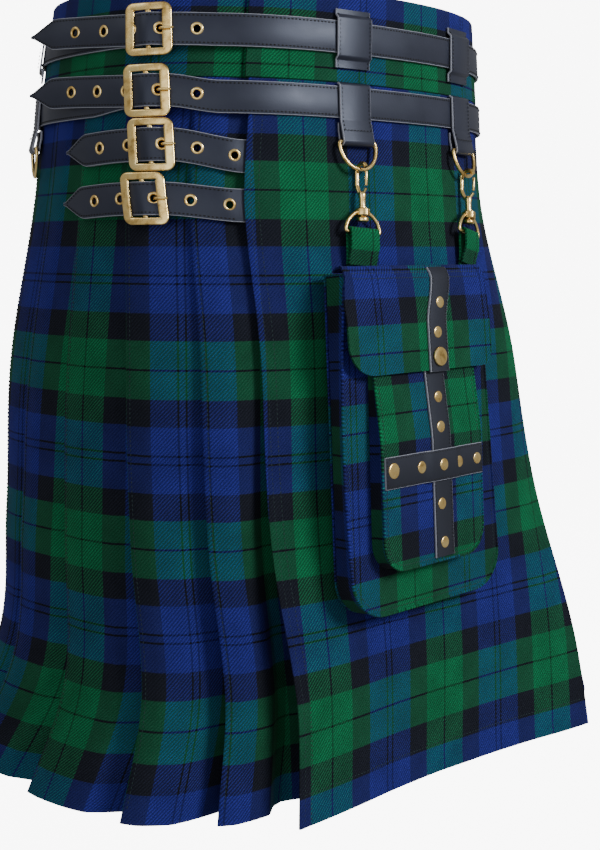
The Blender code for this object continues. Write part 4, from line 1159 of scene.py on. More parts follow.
leather_rows = []
for name, index, lift in (("belt_upper", 0, 0.0), ("belt_lower", 1, APRON_LEVEL)):
    middle = belt_height(index)
    raw = belt_line(index, lift)
    line = strap(name, raw, middle, BELT_WIDTH, BELT_LEATHER, POINT_LENGTH, HOLE_ARCS[index])
    leather_rows += strap_sewing(line, middle, BELT_WIDTH, BELT_LEATHER, 0.030)

for name, tab_name, index in (("hip_strap_upper", "hip_tab_upper", 2),
                              ("hip_strap_lower", "hip_tab_lower", 3)):
    label, bar, height, cloth, drop = BUCKLES[index]
    t, base, frame_level, under_bars, over_bar, base_end = strap_at(index)
    tip = TIP_ARCS[index]
    edge = free_edge(height)
    middle = hip_height(index)
    raw = [
        (tip, base + t + 0.0010),
        (tip + POINT_LENGTH, base + t + 0.0004),
        *through_buckle(bar, under_bars, over_bar),
        (bar + 0.0230, under_bars - 0.0010),
        (edge - 0.0150, base + 0.0002),
        (edge - 0.0020, 0.0001),
        (edge + 0.0220, -0.0004),
    ]
    line = strap(name, raw, middle, HIP_STRAP_WIDTH, t, POINT_LENGTH, HOLE_ARCS[index])
    leather_rows += strap_sewing(line, middle, HIP_STRAP_WIDTH, t, 0.026)
    strap(tab_name, [(bar - TAB_LENGTH, base), *round_bar(bar, base, base_end)], middle, HIP_STRAP_WIDTH, t)
sewing("strap_stitches", leather_rows, THREAD)


# ---- buckles ----
# arc from the middle bar and level from the frame's middle, along the prong
PRONG = ((0.0064, -0.0034), (0.0076, -0.0018), (0.0090, 0.0006), (0.0106, 0.0024), (0.0125, 0.0030),
         (0.0145, 0.0031), (0.0190, 0.0028))


def buckle(index):
    """A square frame with its middle bar, and the prong that turns on it."""
    label, bar, height, cloth, drop = BUCKLES[index]
    frame_level = strap_at(index)[2]
    half_w = (BUCKLE_WIDTH - BUCKLE_BAR) / 2.0
    half_h = (BUCKLE_HEIGHT - BUCKLE_BAR) / 2.0
    corner = 0.0030
    rim = []
    for cx, cy, first in ((1, 1, 0), (-1, 1, 90), (-1, -1, 180), (1, -1, 270)):
        for turn in np.linspace(0.0, 90.0, 9):
            w = math.radians(first + turn)
            rim.append((cx * (half_w - corner) + corner * math.cos(w),
                        cy * (half_h - corner) + corner * math.sin(w)))
        for s in (0.75, 0.25, -0.25, -0.75):
            rim.append((cx * (half_w - corner) * s, cy * half_h) if cx == cy
                       else (cx * half_w, cy * (half_h - corner) * s))
    # section across the bar: (across, out), bevelled on both sides of its face
    b = BUCKLE_BAR / 2.0
    f = BUCKLE_THICK / 2.0
    profile = ((-1.0, -0.30), (-0.96, 0.55), (-0.80, 0.92), (-0.55, 1.0), (0.0, 1.03), (0.55, 1.0),
               (0.80, 0.92), (0.96, 0.55), (1.0, -0.30), (0.92, -0.90), (0.0, -1.0), (-0.92, -0.90))
    rim = np.array(rim)
    sections = []
    for before, here, after in zip(np.roll(rim, 1, axis=0), rim, np.roll(rim, -1, axis=0)):
        d = after - before
        d /= np.linalg.norm(d)
        outward = np.array([d[1], -d[0]])
        wide = b * (1.08 - 0.22 * abs(outward[1]) ** 2)
        section = []
        for p, q in profile:
            du, dz = here + outward * (p * wide + (b - wide) * 0.8)
            section.append(at(bar + du, height + dz, frame_level + q * f))
        sections.append(section)
    out = axes_at(bar, height)[1]
    ends = [at(bar, height + s * half_h, frame_level) for s in (-1.0, -0.3, 0.3, 1.0)]
    parts = [swept(sections, True)[:2], tube(ends, 0.0020, 16, False, out, 0.00085)]
    brass_piece(f"buckle_{label}_frame", parts, f"buckle_{label}", angle=50.0)
    path = curve([at(bar + a, height, frame_level + v) for a, v in PRONG], 4)
    radii = np.interp(np.arange(len(path)), [0, 6, len(path) - 3, len(path) - 1],
                      [0.00105, 0.00120, 0.00095, 0.00045])
    brass_piece(f"prong_{label}_pin", [tube(path, radii, 14, False, out)], f"prong_{label}")


for index in range(len(BUCKLES)):
    buckle(index)

# ---- leather loops and D-rings ----
BAR_HEIGHT = -0.0785
BAR_OUT = 0.0059
RING_PLUMB = -0.0640
RING_DROP = 0.0221
RING_FOOT = 0.0085
NO_PLUMB = -1.0
LOOP_EASE = 0.0005
BELT_LOOP_WIDTH = 0.033
RING_LOOP_WIDTH = 0.030
RING_SHAPE = ((-0.0150, 0.0), (0.0150, 0.0), (0.0170, 0.0008), (0.0176, 0.0028), (0.0170, 0.0080),
              (0.0146, 0.0138), (0.0105, 0.0185), (0.0055, 0.0212), (0.0, 0.0221))


def ring_outline():
    right = list(RING_SHAPE[1:])
    left = [(-u, d) for u, d in reversed(right[:-1])]
    return right + left


def eased(line, radius, steps=3):
    """The line with each inner corner rounded."""
    p = np.array(line, dtype=float)
    out = [p[0]]
    for k in range(1, len(p) - 1):
        start, finish = turn_at(p, k, lambda a, c: (min(radius, 0.45 * a, 0.45 * c),) * 2)
        out += bend(start, p[k], finish, [i / steps for i in range(steps + 1)])
    return np.array(out + [p[-1]])


def plumb_at(arc, height, level, plumb=RING_PLUMB):
    """A point on the surface, or straight down from it below the plumb height."""
    point = at(arc, max(height, plumb), level)
    point[2] = height
    return point


def band_down(line, arc, width, plumb):
    """Sections of a rounded band laid down the surface from (height, middle level) points."""
    tangent = axes_at(arc, line[0][0] if plumb == NO_PLUMB else plumb)[0]
    pts, cut = band_section(width / 2.0, LOOP_LEATHER / 2.0, 0.0004)
    sections = [[plumb_at(arc, *(spot + side * q), plumb) + tangent * p for p, q in pts]
                for spot, side in zip(line, across(line))]
    return sections, cut


loop_rows = []
for index, (arc, cloth) in enumerate(LOOPS):
    half = LOOP_LEATHER / 2.0
    rest = BAND_LEVEL + STRAP_GAP + half
    over = BAND_LEVEL + BELT_LEATHER + STRAP_GAP + LOOP_EASE + half
    line = eased(((-0.0230, rest), (-0.0168, rest), (-0.0145, over), (0.0141, over), (0.0164, rest),
                  (0.0205, rest)), 0.0008)
    node = f"belt_loop_{index + 1}"
    leather_piece(f"{node}_leather", *band_down(line, arc, BELT_LOOP_WIDTH, NO_PLUMB), node, HIDE)
    tangent = axes_at(arc, 0.0205)[0]
    out = axes_at(arc, 0.0)[1]
    for side in (-1.0, 1.0):
        pts = [at(arc, h, v + half) + tangent * side * 0.0144 for h, v in line]
        loop_rows.append(sewn(pts, out, *LOOP_STITCH))
    over = cloth + BELT_LEATHER + STRAP_GAP + LOOP_EASE + half
    turn = RING_WIRE + 0.0003 + half
    fold = [(-0.0346, cloth + 0.0018), (-0.0358, over), (-0.0625, over)]
    for w in np.radians(np.arange(110.0, -107.0, -12.0)):
        fold.append((BAR_HEIGHT - turn * math.cos(w), cloth + BAR_OUT + turn * math.sin(w)))
    line = eased(fold + [(-0.0700, cloth + 0.0016), (-0.0645, cloth + 0.0014)], 0.0007, 2)
    node = f"ring_loop_{index + 1}"
    leather_piece(f"{node}_leather", *band_down(line, arc, RING_LOOP_WIDTH, RING_PLUMB), node, HIDE)
    tangent, out = axes_at(arc, RING_PLUMB)
    front = [(-0.0372, over), (-0.0625, over), (-0.0712, cloth + 0.0079)]
    for side in (-1.0, 1.0):
        pts = [plumb_at(arc, h, v + half) + tangent * side * 0.0129 for h, v in front]
        loop_rows.append(sewn(pts, out, *LOOP_STITCH))
    cross = [plumb_at(arc, -0.0700, cloth + 0.0076 + half) + tangent * side * 0.0145 for side in (-1.0, 1.0)]
    loop_rows.append(sewn(cross, out, *LOOP_STITCH))
    bar = plumb_at(arc, BAR_HEIGHT, cloth + BAR_OUT)
    down = np.array([0.0, 0.0, -1.0])
    if index < 2:
        foot = at(arc, BAR_HEIGHT - RING_DROP, cloth + RING_FOOT)
        down = (foot - bar) / np.linalg.norm(foot - bar)
    path = [bar + tangent * u + down * d for u, d in ring_outline()]
    path += [path[-1] + (path[0] - path[-1]) * s for s in (0.2, 0.5, 0.8)]
    body = ("kilt", "kilt", "free_ring_right", "free_ring_left")[index]
    node = f"d_ring_{index + 1}"
    wire = tube(curve(path, 5, True), RING_WIRE, 18, True, np.cross(tangent, down))
    brass_piece(f"{node}_wire", [wire], node, body)
sewing("loop_stitches", loop_rows, THREAD)

# ---- snap hooks ----
HOOK_WIRE = 0.0018
HOOK_HALF = 0.0041
GATE_DROP = 0.0150
COLLAR_TOP = -0.1290
COLLAR_BOTTOM = -0.1350
STEM_RADIUS = 0.00200
HEAD_BOTTOM = -0.1392
RING_STRAP_WIRE = 0.00145
# across and up from the collar's middle, from the foot of one leg to the top of the arch
RING_ARCH = ((0.0150, -0.0150), (0.0163, -0.0140), (0.0163, -0.0118), (0.0140, -0.0068), (0.0095, -0.0024),
             (0.0046, 0.0))


def hook_set(side, arc, foot_arc):
    """A snap hook with its gate and the strap ring below it; gives back their frame for the strap."""
    cloth = LOOPS[0][1]
    low_wire = at(arc, BAR_HEIGHT - RING_DROP, cloth + RING_FOOT)
    hang = at(foot_arc, -0.1500, cloth + 0.0068)
    up = low_wire - hang
    up /= np.linalg.norm(up)
    tangent = axes_at(arc, BAR_HEIGHT - RING_DROP)[0]
    tangent = tangent - up * float(tangent @ up)
    tangent /= np.linalg.norm(tangent)
    out = np.cross(tangent, up)

    def spot(v, height):
        return low_wire + out * v + up * ((height - low_wire[2]) / up[2])

    bow = HOOK_HALF + HOOK_WIRE
    crown = low_wire[2] + RING_WIRE + 0.0004 - HOOK_HALF + HOOK_WIRE
    pivot_z = crown - GATE_DROP + 0.0030
    neck_top = pivot_z - 0.0035
    turns = [math.radians(w) for w in (24.0, 50.0, 78.0, 104.0, 132.0, 160.0, 180.0)]
    path = [spot(bow * math.cos(w), crown + bow * math.sin(w)) for w in turns]
    path += [spot(-bow, crown - 0.0060), spot(-bow, pivot_z + 0.0020), spot(-0.0038, neck_top + 0.0004),
             spot(-0.0010, neck_top - 0.0022)]
    fine = curve(path, 5)
    steps = len(fine)
    radii = np.interp(np.arange(steps), [0, 6, 0.6 * steps, steps - 1], [0.0014, 0.0018, 0.00185, 0.0018])
    foot = spot(0.0, HEAD_BOTTOM)
    collar_at = float((spot(0.0, COLLAR_TOP) - foot) @ up)
    neck_at = float((spot(0.0, neck_top) - foot) @ up)
    stem = turned(foot, up, (
        (0.0, 0.0036), (0.0004, 0.0044), (0.0010, 0.0046), (0.0030, 0.0046), (0.0036, 0.0041),
        (0.0038, STEM_RADIUS), (collar_at + 0.0003, STEM_RADIUS), (collar_at + 0.0005, 0.0030),
        (collar_at + 0.0014, 0.0030), (collar_at + 0.0018, 0.0024), (neck_at - 0.0050, 0.0025),
        (neck_at - 0.0030, 0.0030), (neck_at - 0.0008, 0.0027), (neck_at, 0.0019)))
    lug = [spot(0.0, neck_top - 0.0024), spot(0.0024, neck_top - 0.0005), spot(0.0048, pivot_z - 0.0012)]
    parts = [tube(fine, radii, 18, False, tangent), stem, tube(lug, 0.0011, 14, False, tangent)]
    brass_piece(f"hook_{side}_brass", parts, f"hook_{side}", f"hook_{side}")
    pivot = spot(0.0050, pivot_z)
    tip = spot(bow - 0.0002, crown + 0.0012 - HOOK_WIRE)
    span = [pivot + up * 0.0004 + (tip - pivot - up * 0.0004) * s for s in (0.0, 0.06, 0.5, 0.94, 1.0)]
    gate = tube(span, [0.0007, 0.0011, 0.0011, 0.0011, 0.0008], 16, False, tangent)
    brass_piece(f"gate_{side}_brass", [gate], f"gate_{side}", f"gate_{side}")
    ring_mid = 0.5 * (COLLAR_TOP + COLLAR_BOTTOM)
    arch = [(-u, d) for u, d in RING_ARCH] + [(u, d) for u, d in reversed(RING_ARCH)]
    arch += [(RING_ARCH[0][0] / 2.0, RING_ARCH[0][1]), (-RING_ARCH[0][0] / 2.0, RING_ARCH[0][1])]
    whole = curve([spot(0.0, ring_mid + d) + tangent * u for u, d in arch], 5, True)
    # the arch ends inside the collar's wall, so the swivel's bore stays open
    frame_of = [((p - spot(0.0, ring_mid)) @ tangent, (p - spot(0.0, ring_mid)) @ up, p) for p in whole]
    keep = [(u, d, p) for u, d, p in frame_of if abs(u) > 0.0036 or d < -0.008]
    first = next(k for k, (u, d, p) in enumerate(keep) if u > 0.0 and d > -0.002)
    arch = [p for u, d, p in keep[first:] + keep[:first]]
    low = spot(0.0, COLLAR_BOTTOM)
    tall = float((spot(0.0, COLLAR_TOP) - low) @ up)
    collar = turned_ring(low, up, ((0.0, 0.00235), (tall, 0.00235), (tall, 0.0050), (tall - 0.0008, 0.0058),
                                   (0.0008, 0.0058), (0.0, 0.0050)), 12)
    parts = [tube(arch, RING_STRAP_WIRE, 16, False, out), collar]
    brass_piece(f"strap_ring_{side}_brass", parts, f"strap_ring_{side}", angle=30.0)
    return spot, tangent, ring_mid + RING_ARCH[0][1]


# ---- pouch ----
EAST = np.array([math.cos(POUCH_YAW), math.sin(POUCH_YAW), 0.0])
AWAY_FLAT = np.array([math.sin(POUCH_YAW), -math.cos(POUCH_YAW), 0.0])
UP = np.array([0.0, 0.0, 1.0])
POUCH_UP = UP * math.cos(POUCH_TILT) - AWAY_FLAT * math.sin(POUCH_TILT)
POUCH_OUT = AWAY_FLAT * math.cos(POUCH_TILT) + UP * math.sin(POUCH_TILT)


def on_pouch(u, w, d):
    """The point at this place across, up and out from the middle of the pouch's top edge."""
    return np.array(POUCH_TOP) + EAST * (u + POUCH_LEAN * w) + POUCH_UP * w + POUCH_OUT * d


def half_width(w):
    return 0.5 * np.interp(-w, [0.0, POUCH_HEIGHT], POUCH_WIDTH)


def spread(u, w):
    """Across the pouch at this height, for a place across its top edge measured from the middle."""
    middle = np.interp(-w, [0.0, POUCH_HEIGHT], POUCH_CENTRE)
    return middle + u * half_width(w) / half_width(0.0)


def front_bow(u, w):
    """How far the front panel reaches past the back one on its left side."""
    side = smooth((POUCH_CENTRE[0] - u) / half_width(0.0))
    return -FRONT_BOW * side * math.sin(math.pi * min(1.0, max(0.0, -w / POUCH_HEIGHT)))


def spread_front(u, w):
    u = spread(u, w)
    return u + front_bow(u, w)


apron_lines = {}


def apron_front(x, height):
    key = round(height, 4)
    if key not in apron_lines:
        arcs = np.linspace(-0.16, 0.16, 41)
        pts = np.array([at(a, key, apron_level(a, key)) for a in arcs])
        apron_lines[key] = (pts[:, 0], pts[:, 1])
    return float(np.interp(x, *apron_lines[key]))


def back_depth(u, w):
    """How deep the pouch is here, so that its back stays clear of the apron."""
    p = on_pouch(u, w, 0.0)
    gap = (apron_front(p[0], p[2]) - p[1]) * math.cos(POUCH_TILT) - BACK_CLEARANCE
    return max(LEAST_DEPTH, min(MOST_DEPTH, gap))


def corner_outline(left, right, top, bottom, radius, steps=8, count=14):
    """A line down the left side, round both lower corners and up the right side."""
    rise = bottom + radius - top
    turns = [math.radians(90.0 * k / steps) for k in range(steps + 1)]
    pts = [(left, top)] + [(left, top + rise * k / count) for k in range(1, count)]
    pts += [(left + radius - radius * math.cos(w), bottom + radius - radius * math.sin(w)) for w in turns]
    pts += [(left + radius + (right - left - 2 * radius) * k / 9, bottom) for k in range(1, 9)]
    pts += [(right - radius + radius * math.sin(w), bottom + radius - radius * math.cos(w)) for w in turns]
    return pts + [(right, bottom + radius - rise * k / count) for k in range(1, count)] + [(right, top)]


def even_arc_shares(columns, left, right, radius):
    """Column places with more of them in the rounded corners."""
    ends = [radius * (1.0 - math.cos(math.radians(90.0 * k / 7))) for k in range(8)]
    inner = np.linspace(radius, right - left - radius, columns - 14)[1:-1]
    return np.array(ends + list(inner) + [right - left - e for e in reversed(ends)]) / (right - left)


def corner_lift(edge, radius):
    """How far a rounded corner rises at this distance in from the edge."""
    return radius - math.sqrt(max(0.0, radius**2 - max(0.0, radius - edge) ** 2))


def panel_places(left, right, top, bottom, radius, columns, rows, flare=None):
    """The (across, up) places of a panel with rounded lower corners."""
    places = []
    for i in range(rows):
        row = []
        for s in even_arc_shares(columns, left, right, radius):
            u = left + (right - left) * s
            w = top + (bottom + corner_lift(min(u - left, right - u), radius) - top) * (i / (rows - 1))
            row.append((flare(u, w) if flare else u, w))
        places.append(row)
    return np.array(places)


def raised(places, depth):
    """The grid of points at these places of the pouch, each at its depth."""
    return [[on_pouch(u, w, depth(u, w)) for u, w in row] for row in places]


HALF_TOP = half_width(0.0)
BODY_RADIUS = 0.030
POCKET_RADIUS = 0.022
# the place on the pouch of a crossing of the tartan's stripes
POUCH_SETT = (-0.0170, -0.1210)
POCKET_SETT = (-0.0690, -0.109)


def pouch_panel(name, node, near, far, flare, centre):
    places = panel_places(-HALF_TOP, HALF_TOP, -0.002, -POUCH_HEIGHT, BODY_RADIUS, 46, 40, flare)
    made = cloth_wall(name, raised(places, near), raised(places, far), places - centre, node)


pouch_panel("pouch_front_cloth", "pouch_front", lambda u, w: 0.0, lambda u, w: POUCH_CLOTH, spread_front,
            POUCH_SETT)
pouch_panel("pouch_back_cloth", "pouch_back", lambda u, w: -back_depth(u, w),
            lambda u, w: -back_depth(u, w) + POUCH_CLOTH, spread, (0.0, -0.1210))


def gusset(name, node, outline, near, far, width, bow=None):
    """A strip of cloth round the outline, from the near depth to the far one."""
    pts = np.array(outline)
    side_in, side_out = offset_line(pts, 2.0 * POUCH_CLOTH)
    mid = pts.mean(axis=0)
    if np.linalg.norm(side_in[3] - mid) > np.linalg.norm(side_out[3] - mid):
        side_in = side_out
    run = run_along(pts)
    flat = (run[-1], width)

    def row(k):
        lines = ([], [], [])
        for s in (0.0, 0.25, 0.5, 0.75, 1.0):
            sag = (side_in[k] - pts[k]) * (0.0006 * math.sin(math.pi * s)) / POUCH_CLOTH
            past = s * bow(*pts[k]) if bow else 0.0
            for line, place in zip(lines, (side_in[k], pts[k])):
                u, w = place + sag
                line.append(on_pouch(u + past, w, near(u, w) * (1 - s) + far(u, w) * s))
            lines[2].append((s * flat[1] + 0.030, run[k]))
        return lines

    made = wall_of_rows(name, range(len(pts)), row, node)


def flared(outline, flare=spread):
    return [(flare(u, w), w) for u, w in outline]


gusset("pouch_gusset_cloth", "pouch_gusset",
       flared(corner_outline(-HALF_TOP, HALF_TOP, -0.004, -POUCH_HEIGHT, BODY_RADIUS)),
       lambda u, w: -back_depth(u, w) + POUCH_CLOTH + 0.0012, lambda u, w: -SEAM_GAP, 0.0150, front_bow)


def pocket_depth(w):
    return float(np.interp(-w, [0.065, 0.085, 0.130, 0.226], [0.0050, 0.0075, 0.0130, 0.0140]))


FACE = POUCH_CLOTH
places = panel_places(POCKET_LEFT, POCKET_RIGHT, POCKET_TOP, POCKET_BOTTOM, POCKET_RADIUS, 42, 34)
inner = raised(places, lambda u, w: FACE + pocket_depth(w) - POUCH_CLOTH)
outer = raised(places, lambda u, w: FACE + pocket_depth(w))
uv = places - POCKET_SETT
uv[..., 0] += np.where(places[..., 0] > POCKET_STRIP_CENTRE, 0.0215, 0.0)
pocket = cloth_wall("pocket_front_cloth", inner, outer, uv, "pocket_front")
gusset("pocket_gusset_cloth", "pocket_gusset",
       corner_outline(POCKET_LEFT, POCKET_RIGHT, POCKET_TOP, POCKET_BOTTOM, POCKET_RADIUS),
       lambda u, w: FACE + SEAM_GAP, lambda u, w: FACE + pocket_depth(w) - POUCH_CLOTH - 2.0 * SEAM_GAP,
       0.0125)

FLAP_DROP = -0.0795
FLAP_OUT = 0.0120
FLAP_REACH = (0.0078, 0.0018)


def flap_profile(share):
    shares = (0.0, 0.06, 0.13, 0.22, 0.40, 0.60, 1.0)
    heights = (-0.0010, 0.0022, 0.0030, -0.0050, -0.0250, -0.0450, FLAP_DROP)
    depths = (-0.0105, -0.0080, 0.0000, 0.0060, 0.0085, 0.0105, FLAP_OUT)
    return float(np.interp(share, shares, heights)), float(np.interp(share, shares, depths))


flap_shares = np.concatenate([np.linspace(0.0, 0.30, 14), np.linspace(0.33, 1.0, 24)])
flap_line = np.array([np.mean([flap_profile(s + d) for d in (-0.012, 0.0, 0.012)], axis=0)
                      for s in flap_shares])
flap_under, flap_over = offset_line(flap_line, 2.0 * POUCH_CLOTH)
if flap_under[-1][1] > flap_over[-1][1]:
    flap_under, flap_over = flap_over, flap_under


LEFT_ROUND = 0.026
RIGHT_ROUND = 0.012


def flap_row(k):
    """The flap's inner line, outer line and cloth map at one step of its drop."""
    s = flap_shares[k]
    low = smooth((s - 0.3) / 0.7)
    lines = ([], [], [])
    for v in flap_columns:
        u = POUCH_CENTRE[0] + v * (HALF_TOP + 0.0008 + FLAP_REACH[0 if v < 0 else 1] * smooth(s / 0.45))
        lift = corner_lift((1.0 - abs(v)) * HALF_TOP, LEFT_ROUND if v < 0 else RIGHT_ROUND) * low
        for line, (w, d) in zip(lines, (flap_under[k], flap_line[k])):
            line.append(on_pouch(u, w + lift, d))
        lines[2].append((u - FLAP_STRIP_CENTRE, flap_line[k][0] + lift + 0.0636))
    return lines


def round_shares(radius, steps):
    """How far in from the flap's side each step of its rounded corner is."""
    return [radius / HALF_TOP * (1.0 - math.cos(math.radians(90.0 * k / steps))) for k in range(steps + 1)]


left_columns = [-1.0 + share for share in round_shares(LEFT_ROUND, 8)]
right_columns = [1.0 - share for share in round_shares(RIGHT_ROUND, 6)]
middle_columns = list(np.linspace(left_columns[-1], right_columns[-1], 30)[1:-1])
flap_columns = left_columns + middle_columns + right_columns[::-1]
flap = wall_of_rows("pouch_flap_cloth", range(len(flap_shares)), flap_row, "pouch_flap")


def piping(name, outline, depth, radius, centre):
    """A corded seam edge round a panel, in the panel's own cloth."""
    path = [on_pouch(u, w, depth(u, w)) for u, w in outline]
    verts, faces = tube(path, radius, 10, False, POUCH_OUT)
    piece(name, verts, faces, [WOOL], uv=np.repeat(np.array(outline) - centre, 10, axis=0))


outline = corner_outline(-HALF_TOP, HALF_TOP, -0.012, -POUCH_HEIGHT, BODY_RADIUS)
piping("pouch_piping", flared(outline, spread_front), lambda u, w: 0.0012, 0.0012, POUCH_SETT)
piping("pocket_piping",
       corner_outline(POCKET_LEFT, POCKET_RIGHT, POCKET_TOP - 0.004, POCKET_BOTTOM, POCKET_RADIUS),
       lambda u, w: FACE + pocket_depth(w) - 0.0004, 0.0011, POCKET_SETT)


def flap_strip_centre(w):
    return FLAP_STRIP_CENTRE + STRIP_TURN * smooth((w + 0.0450) / 0.0400)


def sewn_on_pouch(places, stitch):
    """Stitches through (across, up, out) places on the pouch."""
    return sewn([on_pouch(*place) for place in places], POUCH_OUT, *stitch)


def strap_on_pouch(node, rows, centre, thick):
    """A rounded leather strap down the pouch: rows of (height, depth of the face beneath)."""
    line = np.array([(w, d + STRIP_LIFT + thick / 2.0) for w, d in rows])
    side = across(line)
    if side[0][1] < 0.0:
        side = -side
    pts, cut = band_section(STRIP_HALF, thick / 2.0, 0.0004)
    sections = [[on_pouch(centre(w) + p, w + side_w * q, d + side_d * q) for p, q in pts]
                for (w, d), (side_w, side_d) in zip(line, side)]
    leather_piece(f"{node}_leather", sections, cut, node, SOFT_HIDE)
    inset = STRIP_HALF - 0.0017
    edges = [[(centre(w) + side * inset, w, d + thick / 2.0) for w, d in line] for side in (-1.0, 1.0)]
    return [sewn_on_pouch(places, POUCH_STRAP_STITCH) for places in edges]


strip_rows = [flap_profile(s) for s in np.linspace(0.16, 1.0, 22)] + [(FLAP_DROP - 0.001, FLAP_OUT + 0.0002)]
pouch_rows = strap_on_pouch("flap_strip", strip_rows, flap_strip_centre, 0.0018)
pocket_face = [(w, FACE + pocket_depth(w)) for w in np.linspace(-0.0770, -0.2230, 22)]
pouch_rows += strap_on_pouch("pocket_strip", pocket_face, lambda w: POCKET_STRIP_CENTRE, 0.0016)


def band_rise(u):
    """The band's gap from the pocket: it rises where it crosses the strip."""
    return 0.0004 + 0.0020 * smooth((0.0225 - abs(u - POCKET_STRIP_CENTRE)) / 0.0080)


def on_band(u, w):
    """Depth of the pocket band's face."""
    return FACE + pocket_depth(w) + band_rise(u) + 0.0016


band_columns = np.linspace(POCKET_LEFT + 0.001, POCKET_RIGHT - 0.001, 48)
pts, cut = band_section(0.0120, 0.0008, 0.0004)
sections = [[on_pouch(u, w, FACE + pocket_depth(w) + band_rise(u) + 0.0008 + q)
             for w, q in [(BAND_ON_POCKET + p, q) for p, q in pts]] for u in band_columns]
leather_piece("pocket_band_leather", sections, cut, "pocket_band", SOFT_HIDE)
for w in (BAND_ON_POCKET - 0.0102, BAND_ON_POCKET + 0.0102):
    pouch_rows.append(sewn_on_pouch([(u, w, on_band(u, w)) for u in band_columns[1:-1]], POUCH_STRAP_STITCH))
for u in (POCKET_LEFT + 0.0028, POCKET_RIGHT - 0.0028):
    places = [(u, w, FACE + pocket_depth(w) + 0.0020) for w in np.linspace(-0.1420, -0.1620, 6)]
    pouch_rows.append(sewn_on_pouch(places, POUCH_STRAP_STITCH))
sewing("pouch_leather_stitches", pouch_rows, THREAD)

# ---- rivets and snap ----


def on_flap_strip(u, w):
    """Depth of the flap strip's face, the same all across it."""
    heights = [flap_profile(x) for x in np.linspace(0.22, 1.0, 20)]
    return float(np.interp(-w, [-h for h, d in heights], [d for h, d in heights])) + 0.0022


def on_pocket_strip(u, w):
    """Depth of the pocket strip's face, the same all across it."""
    return FACE + pocket_depth(w) + 0.0020


# across, height, radius and the face that each rivet is set in
RIVETS = (
    (0.0105, -0.0270, 0.0046, on_flap_strip),
    (0.0045, -0.0500, 0.0046, on_flap_strip),
    (0.0030, -0.1000, 0.0046, on_pocket_strip),
    (0.0020, -0.1230, 0.0046, on_pocket_strip),
    (-0.0560, -0.1505, 0.0060, on_band),
    (-0.0235, -0.1515, 0.0048, on_band),
    (0.0010, -0.1520, 0.0048, on_band),
    (0.0215, -0.1520, 0.0046, on_band),
    (0.0455, -0.1520, 0.0046, on_band),
    (-0.0005, -0.1820, 0.0046, on_pocket_strip),
    (0.0015, -0.2120, 0.0046, on_pocket_strip),
)


def dome(u, w, d, r):
    base = on_pouch(u, w, d)
    return turned(base, POUCH_OUT, ((0.0, r), (0.0005, r), (0.0008, 0.95 * r), (0.0010, 0.82 * r),
                                    (0.0011, 0.50 * r), (0.00115, 0.12 * r)))


brass_piece("pouch_rivets", [dome(u, w, face(u, w) - 0.0003, r) for u, w, r, face in RIVETS])
snap = turned(on_pouch(0.0045, -0.0690, FLAP_OUT + 0.0022), POUCH_OUT, (
    (0.0, SNAP_RADIUS), (0.0010, SNAP_RADIUS), (0.0017, 0.0071), (0.0019, 0.0062), (0.0020, 0.0040),
    (0.0020, 0.0010)), 36)
brass_piece("flap_snap_brass", [snap], "flap_snap")

# ---- hooks and the pouch's straps ----
for side, (arc, foot_arc) in zip(("right", "left"), HOOK_ARCS):
    spot, tangent, bar_z = hook_set(side, arc, foot_arc)
    turn = RING_STRAP_WIRE + 0.0006 + 0.0008
    foot_z = POUCH_TOP[2] + 0.0050
    join = -turn + 0.0019
    profile = [(join, foot_z - 0.0022), (join + 0.0004, foot_z + 0.0010), (0.35 * turn, foot_z + 0.0060),
               (turn, foot_z + 0.0110), (turn, bar_z - 0.0030)]
    turns = np.radians(np.linspace(0.0, 180.0, 13))
    profile += [(turn * math.cos(w), bar_z + turn * math.sin(w)) for w in turns]
    profile += [(-turn, 0.5 * (foot_z + 0.004 + bar_z)), (-turn, foot_z + 0.0040)]
    reach = 0.0136 if side == "right" else 0.0110
    columns = np.linspace(-reach, reach, 9)
    one, two = ([[spot(v, z) + tangent * s for s in columns] for v, z in line]
                for line in offset_line(profile, STRAP_CLOTH))
    middle = float((spot(0.0, foot_z) - np.array(POUCH_TOP)) @ EAST)
    for w in (-0.0015, -0.010, -STRAP_TAIL):
        backs = [(u, w, -back_depth(u, w) - 0.0004) for u in middle + columns]
        one.append([on_pouch(u, w, d - STRAP_CLOTH) for u, w, d in backs])
        two.append([on_pouch(*back) for back in backs])
    strap_run = run_along([row[4] for row in two])
    uv = [[(s - 0.0068, here - 0.0330) for s in columns] for here in strap_run]
    made = cloth_wall(f"pouch_strap_{side}_cloth", one, two, uv, f"pouch_strap_{side}")

# ---- sewing on the cloth ----
cloth_rows = []
for row in fold_stitches.values():
    places = [(a, h, v + 0.0001) for h, a, v in row if HEM + 0.004 < h < -0.040]
    cloth_rows.append(sewn_round(places, CLOTH_STITCH))
for inset in (0.0045, 0.0105):
    edge = [(free_edge(h) + inset, h) for h in rows_between(-0.037, HEM + 0.003, 60)]
    cloth_rows.append(sewn_round([(a, h, apron_level(a, h)) for a, h in edge], CLOTH_STITCH))
hem_seam = HEM + 0.0210
places = []
for s in np.linspace(0.012, 0.988, 80):
    a = free_edge(hem_seam) + (fold_edge(hem_seam) - free_edge(hem_seam)) * s
    places.append((a, hem_seam, apron_level(a, hem_seam) + creased(s, hem_seam)))
cloth_rows.append(sewn_round(places, CLOTH_STITCH))
for share in (0.20, 0.24):
    w, d = flap_profile(share)
    strip = flap_strip_centre(w)
    for ends in ((-0.085, strip - STRIP_HALF, 30), (strip + STRIP_HALF, 0.067, 16)):
        cloth_rows.append(sewn_on_pouch([(u, w, d) for u in np.linspace(*ends)], FLAP_STITCH))
outline = corner_outline(-HALF_TOP + 0.004, HALF_TOP - 0.004, -0.090, -POUCH_HEIGHT + 0.004, 0.026)
